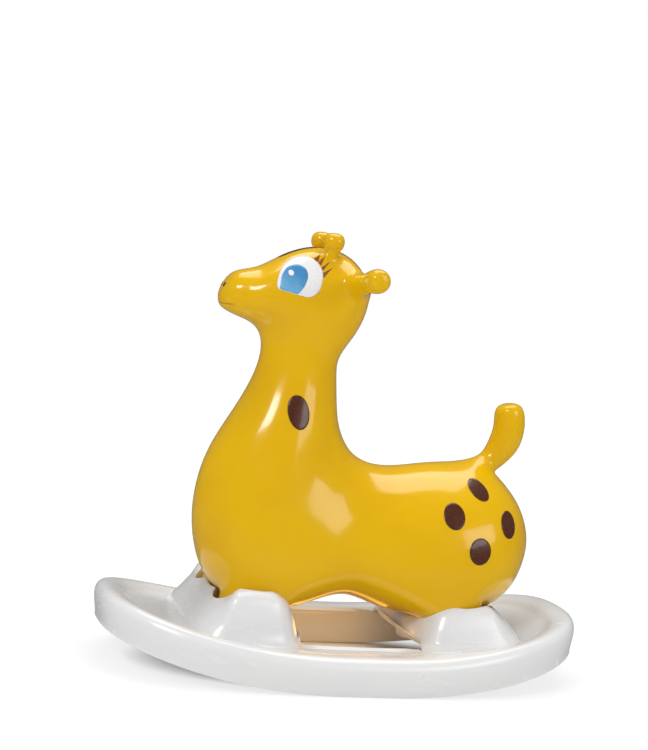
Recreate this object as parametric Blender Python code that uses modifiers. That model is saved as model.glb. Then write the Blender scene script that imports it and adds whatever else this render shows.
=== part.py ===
"""Inflatable bouncing giraffe that stands with its four legs in the sockets of a rocking base.

The giraffe is one soft hollow moulding, with an air plug in its rump and thin prints on its skin. The
base is one rigid shell, open below: a rim with a deck inside it, a long hole along the middle, and two
humps that bridge the hole and hold two leg sockets each. Its ends curve up, so that it rocks.
Metres, +Z up. The head points along -Y and +X is the giraffe's left side. The origin is on the floor,
midway between the runners.
"""

import math

import bmesh
import bpy
import numpy as np
from mathutils import Matrix, Vector
from mathutils.bvhtree import BVHTree

# Gap between neighbours that touch.
SEAT = 0.0003

# Giraffe. Each section of the trunk, from rump to muzzle: its lowest point (y, z), its highest point
# (y, z), its half width, and how far the widest place lies above the middle, as a share of the height.
SKIN_WALL = 0.0035
RING_POINTS = 16
SKIN_LEVEL = 1
SKIN_SHARE = 0.55
TRUNK_SECTIONS = [
    (0.2460, 0.124, 0.2400, 0.256, 0.0680, 0.00),
    (0.2180, 0.094, 0.2080, 0.286, 0.0960, -0.06),
    (0.1760, 0.083, 0.1560, 0.296, 0.1100, -0.12),
    (0.1200, 0.077, 0.1150, 0.294, 0.1110, -0.15),
    (0.0660, 0.078, 0.0780, 0.287, 0.1040, -0.15),
    (0.0120, 0.103, 0.0450, 0.283, 0.0950, -0.12),
    (-0.0420, 0.086, 0.0160, 0.288, 0.0930, -0.13),
    (-0.0920, 0.080, -0.0050, 0.301, 0.0960, -0.17),
    (-0.1380, 0.084, -0.0180, 0.319, 0.0980, -0.18),
    (-0.1840, 0.100, -0.0270, 0.339, 0.0940, -0.15),
    (-0.2110, 0.145, -0.0320, 0.359, 0.0870, -0.08),
    (-0.2235, 0.210, -0.0350, 0.378, 0.0775, -0.02),
    (-0.2120, 0.282, -0.0370, 0.396, 0.0670, 0.00),
    (-0.1810, 0.336, -0.0385, 0.411, 0.0580, 0.00),
    (-0.1540, 0.388, -0.0390, 0.424, 0.0520, 0.00),
    (-0.1440, 0.428, -0.0330, 0.440, 0.0490, 0.00),
    (-0.1480, 0.452, -0.0150, 0.465, 0.0520, 0.00),
    (-0.1580, 0.464, -0.0010, 0.500, 0.0560, 0.00),
    (-0.1690, 0.470, -0.0050, 0.541, 0.0580, -0.02),
    (-0.1800, 0.474, -0.0340, 0.573, 0.0560, -0.06),
    (-0.1890, 0.477, -0.0830, 0.583, 0.0500, -0.08),
    (-0.1970, 0.480, -0.1280, 0.5655, 0.0430, -0.06),
    (-0.2040, 0.483, -0.1600, 0.542, 0.0370, 0.00),
    (-0.2110, 0.488, -0.1930, 0.5385, 0.0310, 0.00),
]
RUMP_SWELL = 0.026
MUZZLE_SWELL = 0.010

# Legs: each leg's centre (x, y, z) and radius, from its root down to its flat foot.
FRONT_LEG_PATH = [
    ((0.058, -0.145, 0.086), 0.0450),
    ((0.058, -0.147, 0.066), 0.0420),
    ((0.058, -0.148, 0.046), 0.0395),
    ((0.058, -0.148, 0.037), 0.0340),
]
REAR_LEG_PATH = [
    ((0.060, 0.156, 0.084), 0.0440),
    ((0.060, 0.158, 0.066), 0.0420),
    ((0.060, 0.159, 0.046), 0.0395),
    ((0.060, 0.159, 0.037), 0.0340),
]

# Ears, which are also the handles: centres (x, y, z) and radii from the head out to the tip.
EAR_PATH = [
    ((0.055, -0.0320, 0.5310), 0.0175),
    ((0.075, -0.0320, 0.5350), 0.0140),
    ((0.098, -0.0320, 0.5390), 0.0135),
    ((0.118, -0.0315, 0.5415), 0.0160),
    ((0.136, -0.0310, 0.5430), 0.0170),
    ((0.146, -0.0305, 0.5435), 0.0115),
]
# Horns: a short stalk and a ball, from the crown up.
HORN_PATH = [
    ((0.0305, -0.070, 0.5690), 0.0095),
    ((0.0308, -0.069, 0.5755), 0.0095),
    ((0.0310, -0.068, 0.5820), 0.0150),
    ((0.0312, -0.067, 0.5928), 0.0150),
    ((0.0312, -0.067, 0.6003), 0.0090),
]
TAIL_PATH = [
    ((0.0, 0.1980, 0.294), 0.0150),
    ((0.0, 0.2110, 0.308), 0.0185),
    ((0.0, 0.2240, 0.328), 0.0230),
    ((0.0, 0.2275, 0.348), 0.0225),
    ((0.0, 0.2265, 0.365), 0.0225),
    ((0.0, 0.2220, 0.384), 0.0185),
]

# Prints on the left side, which the right side mirrors. Each is drawn in a plane that faces away from
# the skin: the middle (y, z), the half sizes, and the turn in degrees towards the rear.
PRINT_THICKNESS = 0.0005
PRINT_GAP = 0.0006
RUMP_SPOTS = [
    (0.1260, 0.2310, 0.0150, 0.0172, 0),
    (0.1670, 0.2655, 0.0165, 0.0112, -40),
    (0.2080, 0.2225, 0.0120, 0.0182, 6),
    (0.1625, 0.1870, 0.0160, 0.0182, -8),
]
NECK_SPOT = (-0.1020, 0.3560, 0.0150, 0.0230, 12)
EYE_WHITE = [
    (-0.1441, 0.5193), (-0.1451, 0.5254), (-0.1430, 0.5356), (-0.1375, 0.5466), (-0.1287, 0.5561),
    (-0.1186, 0.5621), (-0.1076, 0.5648), (-0.0984, 0.5631), (-0.0904, 0.5576), (-0.0849, 0.5500),
    (-0.0834, 0.5400), (-0.0850, 0.5298), (-0.0882, 0.5206), (-0.0945, 0.5137), (-0.1016, 0.5108),
    (-0.1095, 0.5114), (-0.1187, 0.5129), (-0.1303, 0.5152), (-0.1399, 0.5170),
]
IRIS = [
    (-0.1400, 0.5188), (-0.1403, 0.5258), (-0.1387, 0.5354), (-0.1345, 0.5434), (-0.1285, 0.5489),
    (-0.1208, 0.5519), (-0.1134, 0.5520), (-0.1073, 0.5486), (-0.1044, 0.5419), (-0.1049, 0.5344),
    (-0.1083, 0.5257), (-0.1132, 0.5184), (-0.1182, 0.5144), (-0.1291, 0.5165),
]
GLINT = (-0.1266, 0.5406, 0.0037, 0.0037, 0)
# Lashes: each one's tip and the two ends of its root.
LASHES = [
    ((-0.0846, 0.5708), (-0.0955, 0.5628), (-0.0900, 0.5606)),
    ((-0.0792, 0.5679), (-0.0886, 0.5586), (-0.0853, 0.5548)),
    ((-0.0720, 0.5609), (-0.0842, 0.5527), (-0.0818, 0.5478)),
    ((-0.0688, 0.5532), (-0.0823, 0.5455), (-0.0818, 0.5392)),
]
LASH_FOOT = 0.04
LASH_STEPS = 4
NOSTRIL = (0.0082, 0.5164, 0.0030, 0.0030, 0)

# The brown patch on top of the head: one half of its outline, (x, y) seen from above.
CROWN_PATCH = [
    (0.0000, -0.136), (0.0065, -0.128), (0.0090, -0.105), (0.0095, -0.075), (0.0115, -0.045),
    (0.0125, -0.028), (0.0085, -0.019), (0.0000, -0.016),
]

# Air plug: a hole with a flat seat in the rump, and a plug with a head.
VALVE_Z = 0.178
VALVE_HOLE = 0.0050
VALVE_SEAT_RADIUS = 0.0105
VALVE_SEAT_DEPTH = 0.0022
VALVE_BOSS_RADIUS = 0.0135
VALVE_BOSS_DEPTH = 0.0085
PLUG_HEAD = 0.0020
PLUG_LENGTH = 0.0150
PLUG_TIP = 0.0036
PLUG_PLAY = 0.0004

# Rocking base, in plan a rounded oblong that is bent up to both ends.
HOLE_HALF_LENGTH = 0.210
HOLE_HALF_WIDTH = 0.116
HOLE_SQUARENESS = 6.0
HOLE_EDGE = 0.003
DECK_WIDTH = 0.023
RIM_WIDTH = 0.043
BASE_HALF_LENGTH = 0.340
BASE_HALF_WIDTH = HOLE_HALF_WIDTH + DECK_WIDTH + RIM_WIDTH
BASE_SQUARENESS = 2.7
BASE_WALL = 0.0040
RIM_HEIGHT = 0.050
# The rim's outer corner: its inset from the outline, and its height as a share of the rim's.
RIM_CORNER = [(0.000, 0.55), (0.002, 0.78), (0.008, 0.94), (0.018, 1.00), (0.036, 1.00)]
RECESS_DEPTH = 0.009
RECESS_RUN = 0.008
ROCK_RADIUS = 0.97
FLAT_HALF_LENGTH = 0.030
RUNNER_INSET = 0.003
RUNNER_LIP = 0.006
QUARTER_STEPS = 11

# Humps. Each step up a hump's wall: how far it has leant in from the foot, and its height. At a hump's
# outer end, away from the hole, the wall leans in further by some times.
FRONT_HUMP = (-0.149, 0.074)
REAR_HUMP = (0.161, 0.077)
HUMP_BEARING = 0.015
HUMP_HALF_WIDTH = HOLE_HALF_WIDTH + HUMP_BEARING
HUMP_SQUARENESS = 3.8
HUMP_POINTS = 32
HUMP_WALL = [
    (0.0000, 0.050), (0.0045, 0.063), (0.0090, 0.079), (0.0142, 0.0925), (0.0228, 0.106), (0.0340, 0.1125),
    (0.0580, 0.1175),
]
HUMP_END_LEAN = 2.1
HUMP_END_FROM = 0.45
HUMP_FOOT = 0.037
HUMP_ARCH = 0.020
HUMP_ARCH_RUN = 0.020
CRADLE_GAP = 0.0030
CRADLE_REACH = 0.007
LEG_ROOT = 0.070
SOCKET_PLAY = 0.0025
SOCKET_WALL = 0.0040
SOCKET_TOP = 0.150
CUP_TOP = 0.064
VOID_FLOOR = 0.020
VOID_ROOF = 0.061
VOID_WALL = 0.009
VOID_INSET = 0.0015
SOCKET_SIDES = 24


def clear_scene():
    """Removes every object that the scene starts with."""
    for old in list(bpy.data.objects):
        bpy.data.objects.remove(old)


def material(name, colour, roughness, coat=0.0):
    """A plain finish of one colour, with a clear coat where the plastic is glossy."""
    made = bpy.data.materials.new(name)
    made.use_nodes = True
    shader = made.node_tree.nodes["Principled BSDF"]
    shader.inputs["Base Color"].default_value = (*colour, 1.0)
    shader.inputs["Roughness"].default_value = roughness
    shader.inputs["Coat Weight"].default_value = coat
    made.diffuse_color = (*colour, 1.0)
    return made


def object_from(bm, name, collection, finish=None):
    """Puts a bmesh into a new smooth object."""
    mesh = bpy.data.meshes.new(name)
    bm.to_mesh(mesh)
    bm.free()
    mesh.shade_smooth()
    made = bpy.data.objects.new(name, mesh)
    collection.objects.link(made)
    if finish:
        mesh.materials.append(finish)
    else:
        made.hide_render = True
        made.display_type = "WIRE"
    return made


def swell(points):
    """How much wider a cage's ring is than the round that the subdivision draws from it."""
    return 6 / (4 + 2 * math.cos(2 * math.pi / points))


def add_mirror(obj):
    mirror = obj.modifiers.new("Mirror", "MIRROR")
    mirror.merge_threshold = 0.0001


def add_subdivision(obj, levels):
    smooth = obj.modifiers.new("Subdivision", "SUBSURF")
    smooth.levels = levels
    smooth.render_levels = levels


def add_thinning(obj, share):
    """Keeps a share of the faces, more where the surface turns, and the same on both sides."""
    thin = obj.modifiers.new("Thinning", "DECIMATE")
    thin.ratio = share
    thin.use_symmetry = True
    thin.symmetry_axis = "X"


def add_wall(obj, thickness, side=-1):
    wall = obj.modifiers.new("Wall", "SOLIDIFY")
    wall.thickness = thickness
    wall.offset = side


def add_boolean(obj, operation, other):
    """Joins, cuts or keeps with another object, or with all of a collection at once."""
    cut = obj.modifiers.new(other.name, "BOOLEAN")
    cut.operation = operation
    if isinstance(other, bpy.types.Collection):
        cut.operand_type = "COLLECTION"
        cut.collection = other
    else:
        cut.object = other


# The giraffe's skin


def half_ring(section):
    """The points of one section on the left side, from the top to the bottom."""
    low_y, low_z, high_y, high_z, half_width, widest = section
    turn = np.linspace(0, math.pi, RING_POINTS // 2 + 1)
    up = 0.5 * np.cos(turn) + widest * np.sin(turn) ** 2
    up = up * swell(RING_POINTS)
    y = (low_y + high_y) / 2 + up * (high_y - low_y)
    z = (low_z + high_z) / 2 + up * (high_z - low_z)
    x = half_width * swell(RING_POINTS) * np.sin(turn)
    return np.stack([x, y, z], axis=1)


def cap(bm, ring, outward, flipped):
    """Closes a half ring with a grid of eight faces that swells outwards."""
    middle = (ring[0].co + ring[8].co) / 2 + outward
    share = 0.5

    def between(edge):
        return edge.co.lerp(middle, share) + outward * 0.22

    centre = bm.verts.new(middle)
    upper = bm.verts.new(between(ring[0]))
    lower = bm.verts.new(between(ring[8]))
    side_upper = bm.verts.new(between(ring[2]))
    side = bm.verts.new(between(ring[4]))
    side_lower = bm.verts.new(between(ring[6]))
    faces = [
        (ring[0], ring[1], side_upper, upper),
        (ring[1], ring[2], ring[3], side_upper),
        (upper, side_upper, side, centre),
        (side_upper, ring[3], ring[4], side),
        (centre, side, side_lower, lower),
        (side, ring[4], ring[5], side_lower),
        (lower, side_lower, ring[7], ring[8]),
        (side_lower, ring[5], ring[6], ring[7]),
    ]
    for face in faces:
        bm.faces.new(face[::-1] if flipped else face)


def even_turns(spokes, ahead, aside, on_middle):
    """Turns of the spokes about a limb's axis, in their order but evenly spread."""
    turns = np.array([math.atan2(spoke.dot(aside), spoke.dot(ahead)) for spoke in spokes])
    order = np.argsort(np.abs(turns) if on_middle else turns)
    if on_middle:
        turns[order] = np.linspace(0, math.pi, len(turns))
        return turns
    even = np.arange(len(turns)) * 2 * math.pi / len(turns)
    turns[order] = even + np.mean(turns[order] - even)
    return turns


def grow(bm, faces, path, corners):
    """Draws a limb out of some faces, ring by ring, along a path of centres and radii."""
    centres = [Vector(place) for place, radius in path]
    on_middle = centres[0].x == 0
    root = sum((face.calc_center_median() for face in faces), Vector()) / len(faces)
    if on_middle:
        root.x = 0
    ends = [centres[0]] + centres + [centres[-1]]
    for step, (place, radius) in enumerate(path):
        along = (ends[step + 2] - ends[step]).normalized()
        aside = Vector((1, 0, 0)) if on_middle else along.orthogonal().normalized()
        ahead = aside.cross(along)
        made = bmesh.ops.extrude_face_region(bm, geom=faces)["geom"]
        bmesh.ops.delete(bm, geom=faces, context="FACES")
        faces = [item for item in made if isinstance(item, bmesh.types.BMFace)]
        points = [item for item in made if isinstance(item, bmesh.types.BMVert)]
        points.sort(key=lambda point: (point.co - root).length)
        if corners == 8:
            points.pop(0).co = centres[step]
        turns = even_turns([point.co - root for point in points], ahead, aside, on_middle)
        for point, turn in zip(points, turns):
            spoke = ahead * math.cos(turn) + aside * math.sin(turn)
            point.co = centres[step] + spoke * radius * swell(corners)
            if on_middle and abs(math.sin(turn)) < 1e-6:
                point.co.x = 0
        root = centres[step]
    if on_middle:
        inner = [face for face in bm.faces if all(abs(point.co.x) < 1e-6 for point in face.verts)]
        bmesh.ops.delete(bm, geom=inner, context="FACES")


def skin_cage():
    """The left half of the giraffe as a coarse cage, open at the middle plane."""
    bm = bmesh.new()
    rings = [[bm.verts.new(point) for point in half_ring(section)] for section in TRUNK_SECTIONS]
    quads = {}
    for step, (ring, following) in enumerate(zip(rings, rings[1:])):
        for place in range(RING_POINTS // 2):
            corner = (ring[place], following[place], following[place + 1], ring[place + 1])
            quads[step, place] = bm.faces.new(corner)
    cap(bm, rings[0], Vector((0, RUMP_SWELL, 0)), False)
    cap(bm, rings[-1], Vector((0, -MUZZLE_SWELL, -0.002)), True)
    rear = [quads[step, place] for step in (2, 3) for place in (5, 6)]
    front = [quads[step, place] for step in (7, 8) for place in (5, 6)]
    grow(bm, rear, REAR_LEG_PATH, 8)
    grow(bm, front, FRONT_LEG_PATH, 8)
    grow(bm, [quads[step, place] for step in (17, 18) for place in (1, 2)], EAR_PATH, 8)
    grow(bm, [quads[19, 1]], HORN_PATH, 4)
    grow(bm, [quads[1, 0]], TAIL_PATH, 6)
    return bm


def outer_form(collection, name):
    """The giraffe's outer surface as a filled body, before it has a wall."""
    form = object_from(skin_cage(), name, collection)
    add_mirror(form)
    add_subdivision(form, SKIN_LEVEL)
    add_thinning(form, SKIN_SHARE)
    return form


def surface_of(obj):
    """The surface of an object as its modifiers leave it, to cast rays at."""
    bpy.context.view_layer.update()
    return BVHTree.FromObject(obj, bpy.context.evaluated_depsgraph_get())


def turned(name, profile, collection, finish=None, steps=24):
    """A profile of (radius, height) turned about Z, given from the top down its outer side."""
    bm = bmesh.new()
    points = [bm.verts.new((radius, 0, height)) for radius, height in profile]
    for first, second in zip(points, points[1:]):
        bm.edges.new((first, second))
    made = object_from(bm, name, collection, finish)
    screw = made.modifiers.new("Screw", "SCREW")
    screw.steps = steps
    screw.render_steps = steps
    screw.use_merge_vertices = True
    screw.merge_threshold = 0.0001
    return made


def face_rearwards(obj, y):
    """Lays a turned body along Y at the valve's height, with its top towards the rear."""
    obj.rotation_euler = (-math.pi / 2, 0, 0)
    obj.location = (0, y, VALVE_Z)


def giraffe_skin(parts, cutters, finish, valve_y):
    """The soft body: the outer form with a wall inside it, and a boss with the valve's hole."""
    skin = object_from(skin_cage(), "giraffe_skin", parts, finish)
    add_mirror(skin)
    add_subdivision(skin, SKIN_LEVEL)
    add_thinning(skin, SKIN_SHARE)
    add_wall(skin, SKIN_WALL)
    boss_top = -VALVE_SEAT_DEPTH / 2
    boss = turned(
        "valve_boss",
        [(0, boss_top), (VALVE_BOSS_RADIUS, boss_top), (VALVE_BOSS_RADIUS, -VALVE_BOSS_DEPTH),
         (0, -VALVE_BOSS_DEPTH)],
        cutters,
    )
    clear = VALVE_BOSS_DEPTH + SKIN_WALL
    hole = turned(
        "valve_hole",
        [(0, clear), (VALVE_SEAT_RADIUS, clear), (VALVE_SEAT_RADIUS, -VALVE_SEAT_DEPTH),
         (VALVE_HOLE, -VALVE_SEAT_DEPTH), (VALVE_HOLE, -clear), (0, -clear)],
        cutters,
    )
    for tool in (boss, hole):
        face_rearwards(tool, valve_y)
    add_boolean(skin, "UNION", boss)
    add_boolean(skin, "DIFFERENCE", hole)
    return skin


def air_plug(parts, finish, valve_y):
    """The plug: a flat head in the valve's seat and a tapered stem down its hole."""
    seat = -VALVE_SEAT_DEPTH + SEAT
    head_radius = VALVE_SEAT_RADIUS - PLUG_PLAY
    stem = VALVE_HOLE - PLUG_PLAY
    edge = PLUG_HEAD / 4
    plug = turned(
        "air_plug",
        [(0, seat + PLUG_HEAD), (head_radius - edge, seat + PLUG_HEAD),
         (head_radius, seat + PLUG_HEAD - edge), (head_radius, seat), (stem, seat),
         (PLUG_TIP, seat - PLUG_LENGTH), (0, seat - PLUG_LENGTH)],
        parts,
        finish,
    )
    face_rearwards(plug, valve_y)
    return plug


# The rocking base


def lift(y):
    """How far the base's underside stands off the floor: flat at the middle, then an arc."""
    run = np.maximum(np.abs(y) - FLAT_HALF_LENGTH, 0)
    return ROCK_RADIUS - np.sqrt(ROCK_RADIUS**2 - run**2)


def oblong(turn, half_width, half_length, squareness):
    """Points of a superellipse: x goes with the cosine and y with the sine."""
    power = 2 / squareness
    x = half_width * np.sign(np.cos(turn)) * np.abs(np.cos(turn)) ** power
    y = half_length * np.sign(np.sin(turn)) * np.abs(np.sin(turn)) ** power
    return np.stack([x, y], axis=1)


def oblong_turns():
    """Turns round the base, with a point at each end of the flat stretch on both sides."""
    first = math.asin((FLAT_HALF_LENGTH / BASE_HALF_LENGTH) ** (BASE_SQUARENESS / 2))
    quarter = np.linspace(first, math.pi / 2, QUARTER_STEPS)
    rear = np.concatenate([quarter, math.pi - quarter[-2::-1]])
    return np.concatenate([rear, rear + math.pi])


def smooth_step(value, low, high):
    share = np.clip((value - low) / (high - low), 0, 1)
    return share * share * (3 - 2 * share)


def band(bm, rows):
    """Joins closed rows of points from the lowest up."""
    for lower, upper in zip(rows, rows[1:]):
        following = zip(lower[1:] + lower[:1], upper[1:] + upper[:1])
        for first, last, (after, above) in zip(lower, upper, following):
            bm.faces.new((first, after, above, last))


def base_ring(parts, finish):
    """The rim, the deck and both skirts, as one open surface with a wall under it."""
    turns = oblong_turns()
    outer = oblong(turns, BASE_HALF_WIDTH, BASE_HALF_LENGTH, BASE_SQUARENESS)
    inner = oblong(turns, HOLE_HALF_WIDTH, HOLE_HALF_LENGTH, HOLE_SQUARENESS)
    across = inner - outer
    width = np.linalg.norm(across, axis=1, keepdims=True)
    towards = across / width
    recess = RECESS_DEPTH * smooth_step(np.abs(inner[:, 1]), 0.6 * HOLE_HALF_LENGTH, HOLE_HALF_LENGTH)
    deck = RIM_HEIGHT - recess
    flat = np.zeros_like(recess)
    corner = np.minimum(width, RIM_WIDTH) / RIM_WIDTH
    section = [
        (RUNNER_INSET + 0 * width, flat),
        (RUNNER_INSET + 0 * width, flat + RUNNER_LIP),
        *((inset * corner, flat + share * RIM_HEIGHT) for inset, share in RIM_CORNER),
        (RIM_WIDTH * corner, deck + 0.7 * recess),
        (RIM_WIDTH * corner + RECESS_RUN, deck),
        (width - HOLE_EDGE, deck),
        (width, deck - HOLE_EDGE),
        (width, flat),
    ]
    bm = bmesh.new()
    rows = []
    for inset, height in section:
        place = outer + towards * inset
        z = height + lift(place[:, 1])
        rows.append([bm.verts.new((x, y, up)) for (x, y), up in zip(place, z)])
    band(bm, rows)
    base = object_from(bm, "rocker_base", parts, finish)
    add_wall(base, BASE_WALL)
    return base


def cradle(body, x, y):
    """Height under the body round a place in plan, for a hump to stay below, with the legs left out."""
    heights = [math.inf]
    for across, along in ((0, 0), (1, 0), (-1, 0), (0, 1), (0, -1)):
        below = Vector((x + across * CRADLE_REACH, y + along * CRADLE_REACH, -1))
        hit, _, _, _ = body.ray_cast(below, Vector((0, 0, 1)))
        if hit:
            heights.append(max(hit.z, LEG_ROOT) - CRADLE_GAP)
    return min(heights)


def hump_rows(hump, body):
    """Rings of places up a hump's wall, from its foot, which arches up at the hole, to its top."""
    centre_y, half_length = hump
    turns = (np.arange(HUMP_POINTS) + 0.5) * 2 * math.pi / HUMP_POINTS
    outward = np.sin(turns) * np.sign(centre_y)
    lean = 1 + (HUMP_END_LEAN - 1) * smooth_step(outward, HUMP_END_FROM, 1)
    over_hole = smooth_step(HOLE_HALF_WIDTH - HUMP_HALF_WIDTH * np.abs(np.cos(turns)), 0, HUMP_ARCH_RUN)
    foot = HUMP_FOOT + HUMP_ARCH * over_hole * (outward < 0)
    insets, heights = np.array(HUMP_WALL).T
    rows = []
    for inset in insets:
        place = oblong(turns, HUMP_HALF_WIDTH - inset, half_length - inset, HUMP_SQUARENESS)
        place[:, 1] += centre_y
        up = lift(place[:, 1]) + (np.interp(inset / lean, insets, heights) if inset else foot)
        rows.append([(x, y, min(z, cradle(body, x, y))) for (x, y), z in zip(place, up)])
    return rows


def hump_block(name, hump, body, collection):
    """A hump as a filled body."""
    bm = bmesh.new()
    rows = [[bm.verts.new(place) for place in row] for row in hump_rows(hump, body)]
    band(bm, rows)
    for row, upward in ((rows[-1], True), (rows[0], False)):
        for step in range(HUMP_POINTS // 2 - 1):
            corners = (row[step], row[step + 1], row[-2 - step], row[-1 - step])
            bm.faces.new(corners if upward else corners[::-1])
    return object_from(bm, name, collection)


def oblong_block(name, half_width, half_length, squareness, centre_y, levels, collection):
    """An oblong in plan as a filled block between two levels."""
    turns = np.arange(HUMP_POINTS) * 2 * math.pi / HUMP_POINTS
    place = oblong(turns, half_width, half_length, squareness)
    place[:, 1] += centre_y
    bm = bmesh.new()
    rows = [[bm.verts.new((x, y, z)) for x, y in place] for z in levels]
    band(bm, rows)
    bm.faces.new(rows[-1])
    bm.faces.new(rows[0][::-1])
    return object_from(bm, name, collection)


def hump_void(name, hump, collection, cutters):
    """The space under a hump inside the hole, up to a flat roof, before the cups are left in it."""
    centre_y, half_length = hump
    hole_side = abs(centre_y) - half_length + VOID_WALL
    end_side = HOLE_HALF_LENGTH - VOID_INSET
    middle = math.copysign((end_side + hole_side) / 2, centre_y)
    half = (end_side - hole_side) / 2
    levels = (VOID_FLOOR, VOID_ROOF)
    void = oblong_block(name, HOLE_HALF_WIDTH - VOID_INSET, half, HOLE_SQUARENESS, middle, levels, collection)
    taller = (VOID_FLOOR - VOID_WALL, VOID_ROOF + VOID_WALL)
    width, length = HUMP_HALF_WIDTH - VOID_WALL, half_length - VOID_WALL / 2
    core = oblong_block(name + "_core", width, length, HUMP_SQUARENESS, centre_y, taller, cutters)
    add_boolean(void, "INTERSECT", core)
    return void


def leg_sleeve(name, path, room, floor, top, collection):
    """A pair of filled sleeves round two legs, wider than them by some room, from a floor to a top."""
    levels = [(place, radius + room) for place, radius in path[:3] if place[2] < top]
    rings = [((*levels[0][0][:2], top), levels[0][1]), *levels, ((*path[-1][0][:2], floor), levels[-1][1])]
    turns = np.arange(SOCKET_SIDES) * 2 * math.pi / SOCKET_SIDES
    bm = bmesh.new()
    for side in (-1, 1):
        rows = []
        for (x, y, z), radius in rings:
            spokes = zip(side * x + radius * np.cos(turns), y + radius * np.sin(turns))
            rows.append([bm.verts.new((*spoke, z)) for spoke in spokes])
        band(bm, rows[::-1])
        bm.faces.new(rows[0])
        bm.faces.new(rows[-1][::-1])
    return object_from(bm, name, collection)


def rocker_base(parts, cutters, finish, body, foot_level):
    """The whole base: the ring, the two humps, and in each hump a pair of sockets with floors."""
    base = base_ring(parts, finish)
    floor = foot_level - SEAT
    around = SOCKET_PLAY + SOCKET_WALL
    added = bpy.data.collections.new("humps_and_cups")
    taken = bpy.data.collections.new("voids_and_bores")
    cutters.children.link(added)
    cutters.children.link(taken)
    ends = (("front", FRONT_HUMP, FRONT_LEG_PATH), ("rear", REAR_HUMP, REAR_LEG_PATH))
    for side, hump, path in ends:
        hump_block(side + "_hump", hump, body, added)
        leg_sleeve(side + "_cups", path, around, floor - SOCKET_WALL, CUP_TOP, added)
        void = hump_void(side + "_void", hump, taken, cutters)
        kept = leg_sleeve(side + "_kept", path, around, floor - 3 * SOCKET_WALL, SOCKET_TOP, cutters)
        add_boolean(void, "DIFFERENCE", kept)
        leg_sleeve(side + "_bores", path, SOCKET_PLAY, floor, SOCKET_TOP, taken)
    add_boolean(base, "UNION", added)
    add_boolean(base, "DIFFERENCE", taken)
    return base


def lowest(obj):
    """Height of an object's lowest point, as its modifiers leave it."""
    bpy.context.view_layer.update()
    shape = obj.evaluated_get(bpy.context.evaluated_depsgraph_get()).to_mesh()
    return min(point.co.z for point in shape.vertices)


# The prints


def oval(spot, count=16):
    """The outline of an oval print: its middle, its half sizes and its turn."""
    middle_y, middle_z, half_y, half_z, turned_by = spot
    turn = np.arange(count) * 2 * math.pi / count
    y, z = half_y * np.cos(turn), half_z * np.sin(turn)
    lean = math.radians(turned_by)
    return np.stack([middle_y + y * math.cos(lean) - z * math.sin(lean),
                     middle_z + y * math.sin(lean) + z * math.cos(lean)], axis=1)


def spike(tip, first, last):
    """The outline of a lash, from its tip down one side, across its slightly bulging root and back."""
    tip, first, last = map(np.array, (tip, first, last))
    shares = np.arange(1, LASH_STEPS + 1) / LASH_STEPS
    down = [tip + (first - tip) * share for share in shares]
    back = [tip + (last - tip) * share for share in shares[::-1]]
    root = (first + last) / 2
    return [tip, *down, root + (root - tip) * LASH_FOOT, *back]


def print_on(surface, name, outline, view, spans, parts, finish):
    """A thin film that follows a surface: points of the outline are cast on it and raised by the gap.

    The outline runs from one end round to the other and back, and rows of some spans join its two
    sides. The view is a matrix whose columns hold the outline's two directions and the way it faces.
    """
    outline = np.asarray(outline, dtype=float)
    outward = view.col[2]
    bm = bmesh.new()

    def on_skin(place):
        hit, normal, _, _ = surface.ray_cast(view @ Vector((*place, 1)), -outward)
        return bm.verts.new(hit + normal * PRINT_GAP)

    far = len(outline) // 2
    rows = [[on_skin(place) for place in np.linspace(outline[step], outline[-step], spans + 1)]
            for step in range(1, far)]
    for end, row in ((on_skin(outline[0]), rows[0]), (on_skin(outline[far]), rows[-1][::-1])):
        for first, second in zip(row, row[1:]):
            bm.faces.new((end, first, second))
    for row, following in zip(rows, rows[1:]):
        for first, second, last, after in zip(row, row[1:], following, following[1:]):
            bm.faces.new((second, first, last, after))
    bm.normal_update()
    if sum(face.normal.dot(outward) * face.calc_area() for face in bm.faces) < 0:
        bmesh.ops.reverse_faces(bm, faces=list(bm.faces))
    film = object_from(bm, name, parts, finish)
    add_wall(film, PRINT_THICKNESS, 1)
    return film


def finer(outline, count):
    """Points spread evenly round a closed outline, on smooth curves through the given points."""
    points = np.asarray(outline)
    place = np.arange(count) * len(points) / count
    index = np.floor(place).astype(int)
    t = (place - index)[:, None]
    before, here, after, beyond = (points[(index + shift) % len(points)] for shift in (-1, 0, 1, 2))
    return 0.5 * (
        2 * here
        + (after - before) * t
        + (2 * before - 5 * here + 4 * after - beyond) * t**2
        + (3 * here - before - 3 * after + beyond) * t**3
    )


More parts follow.
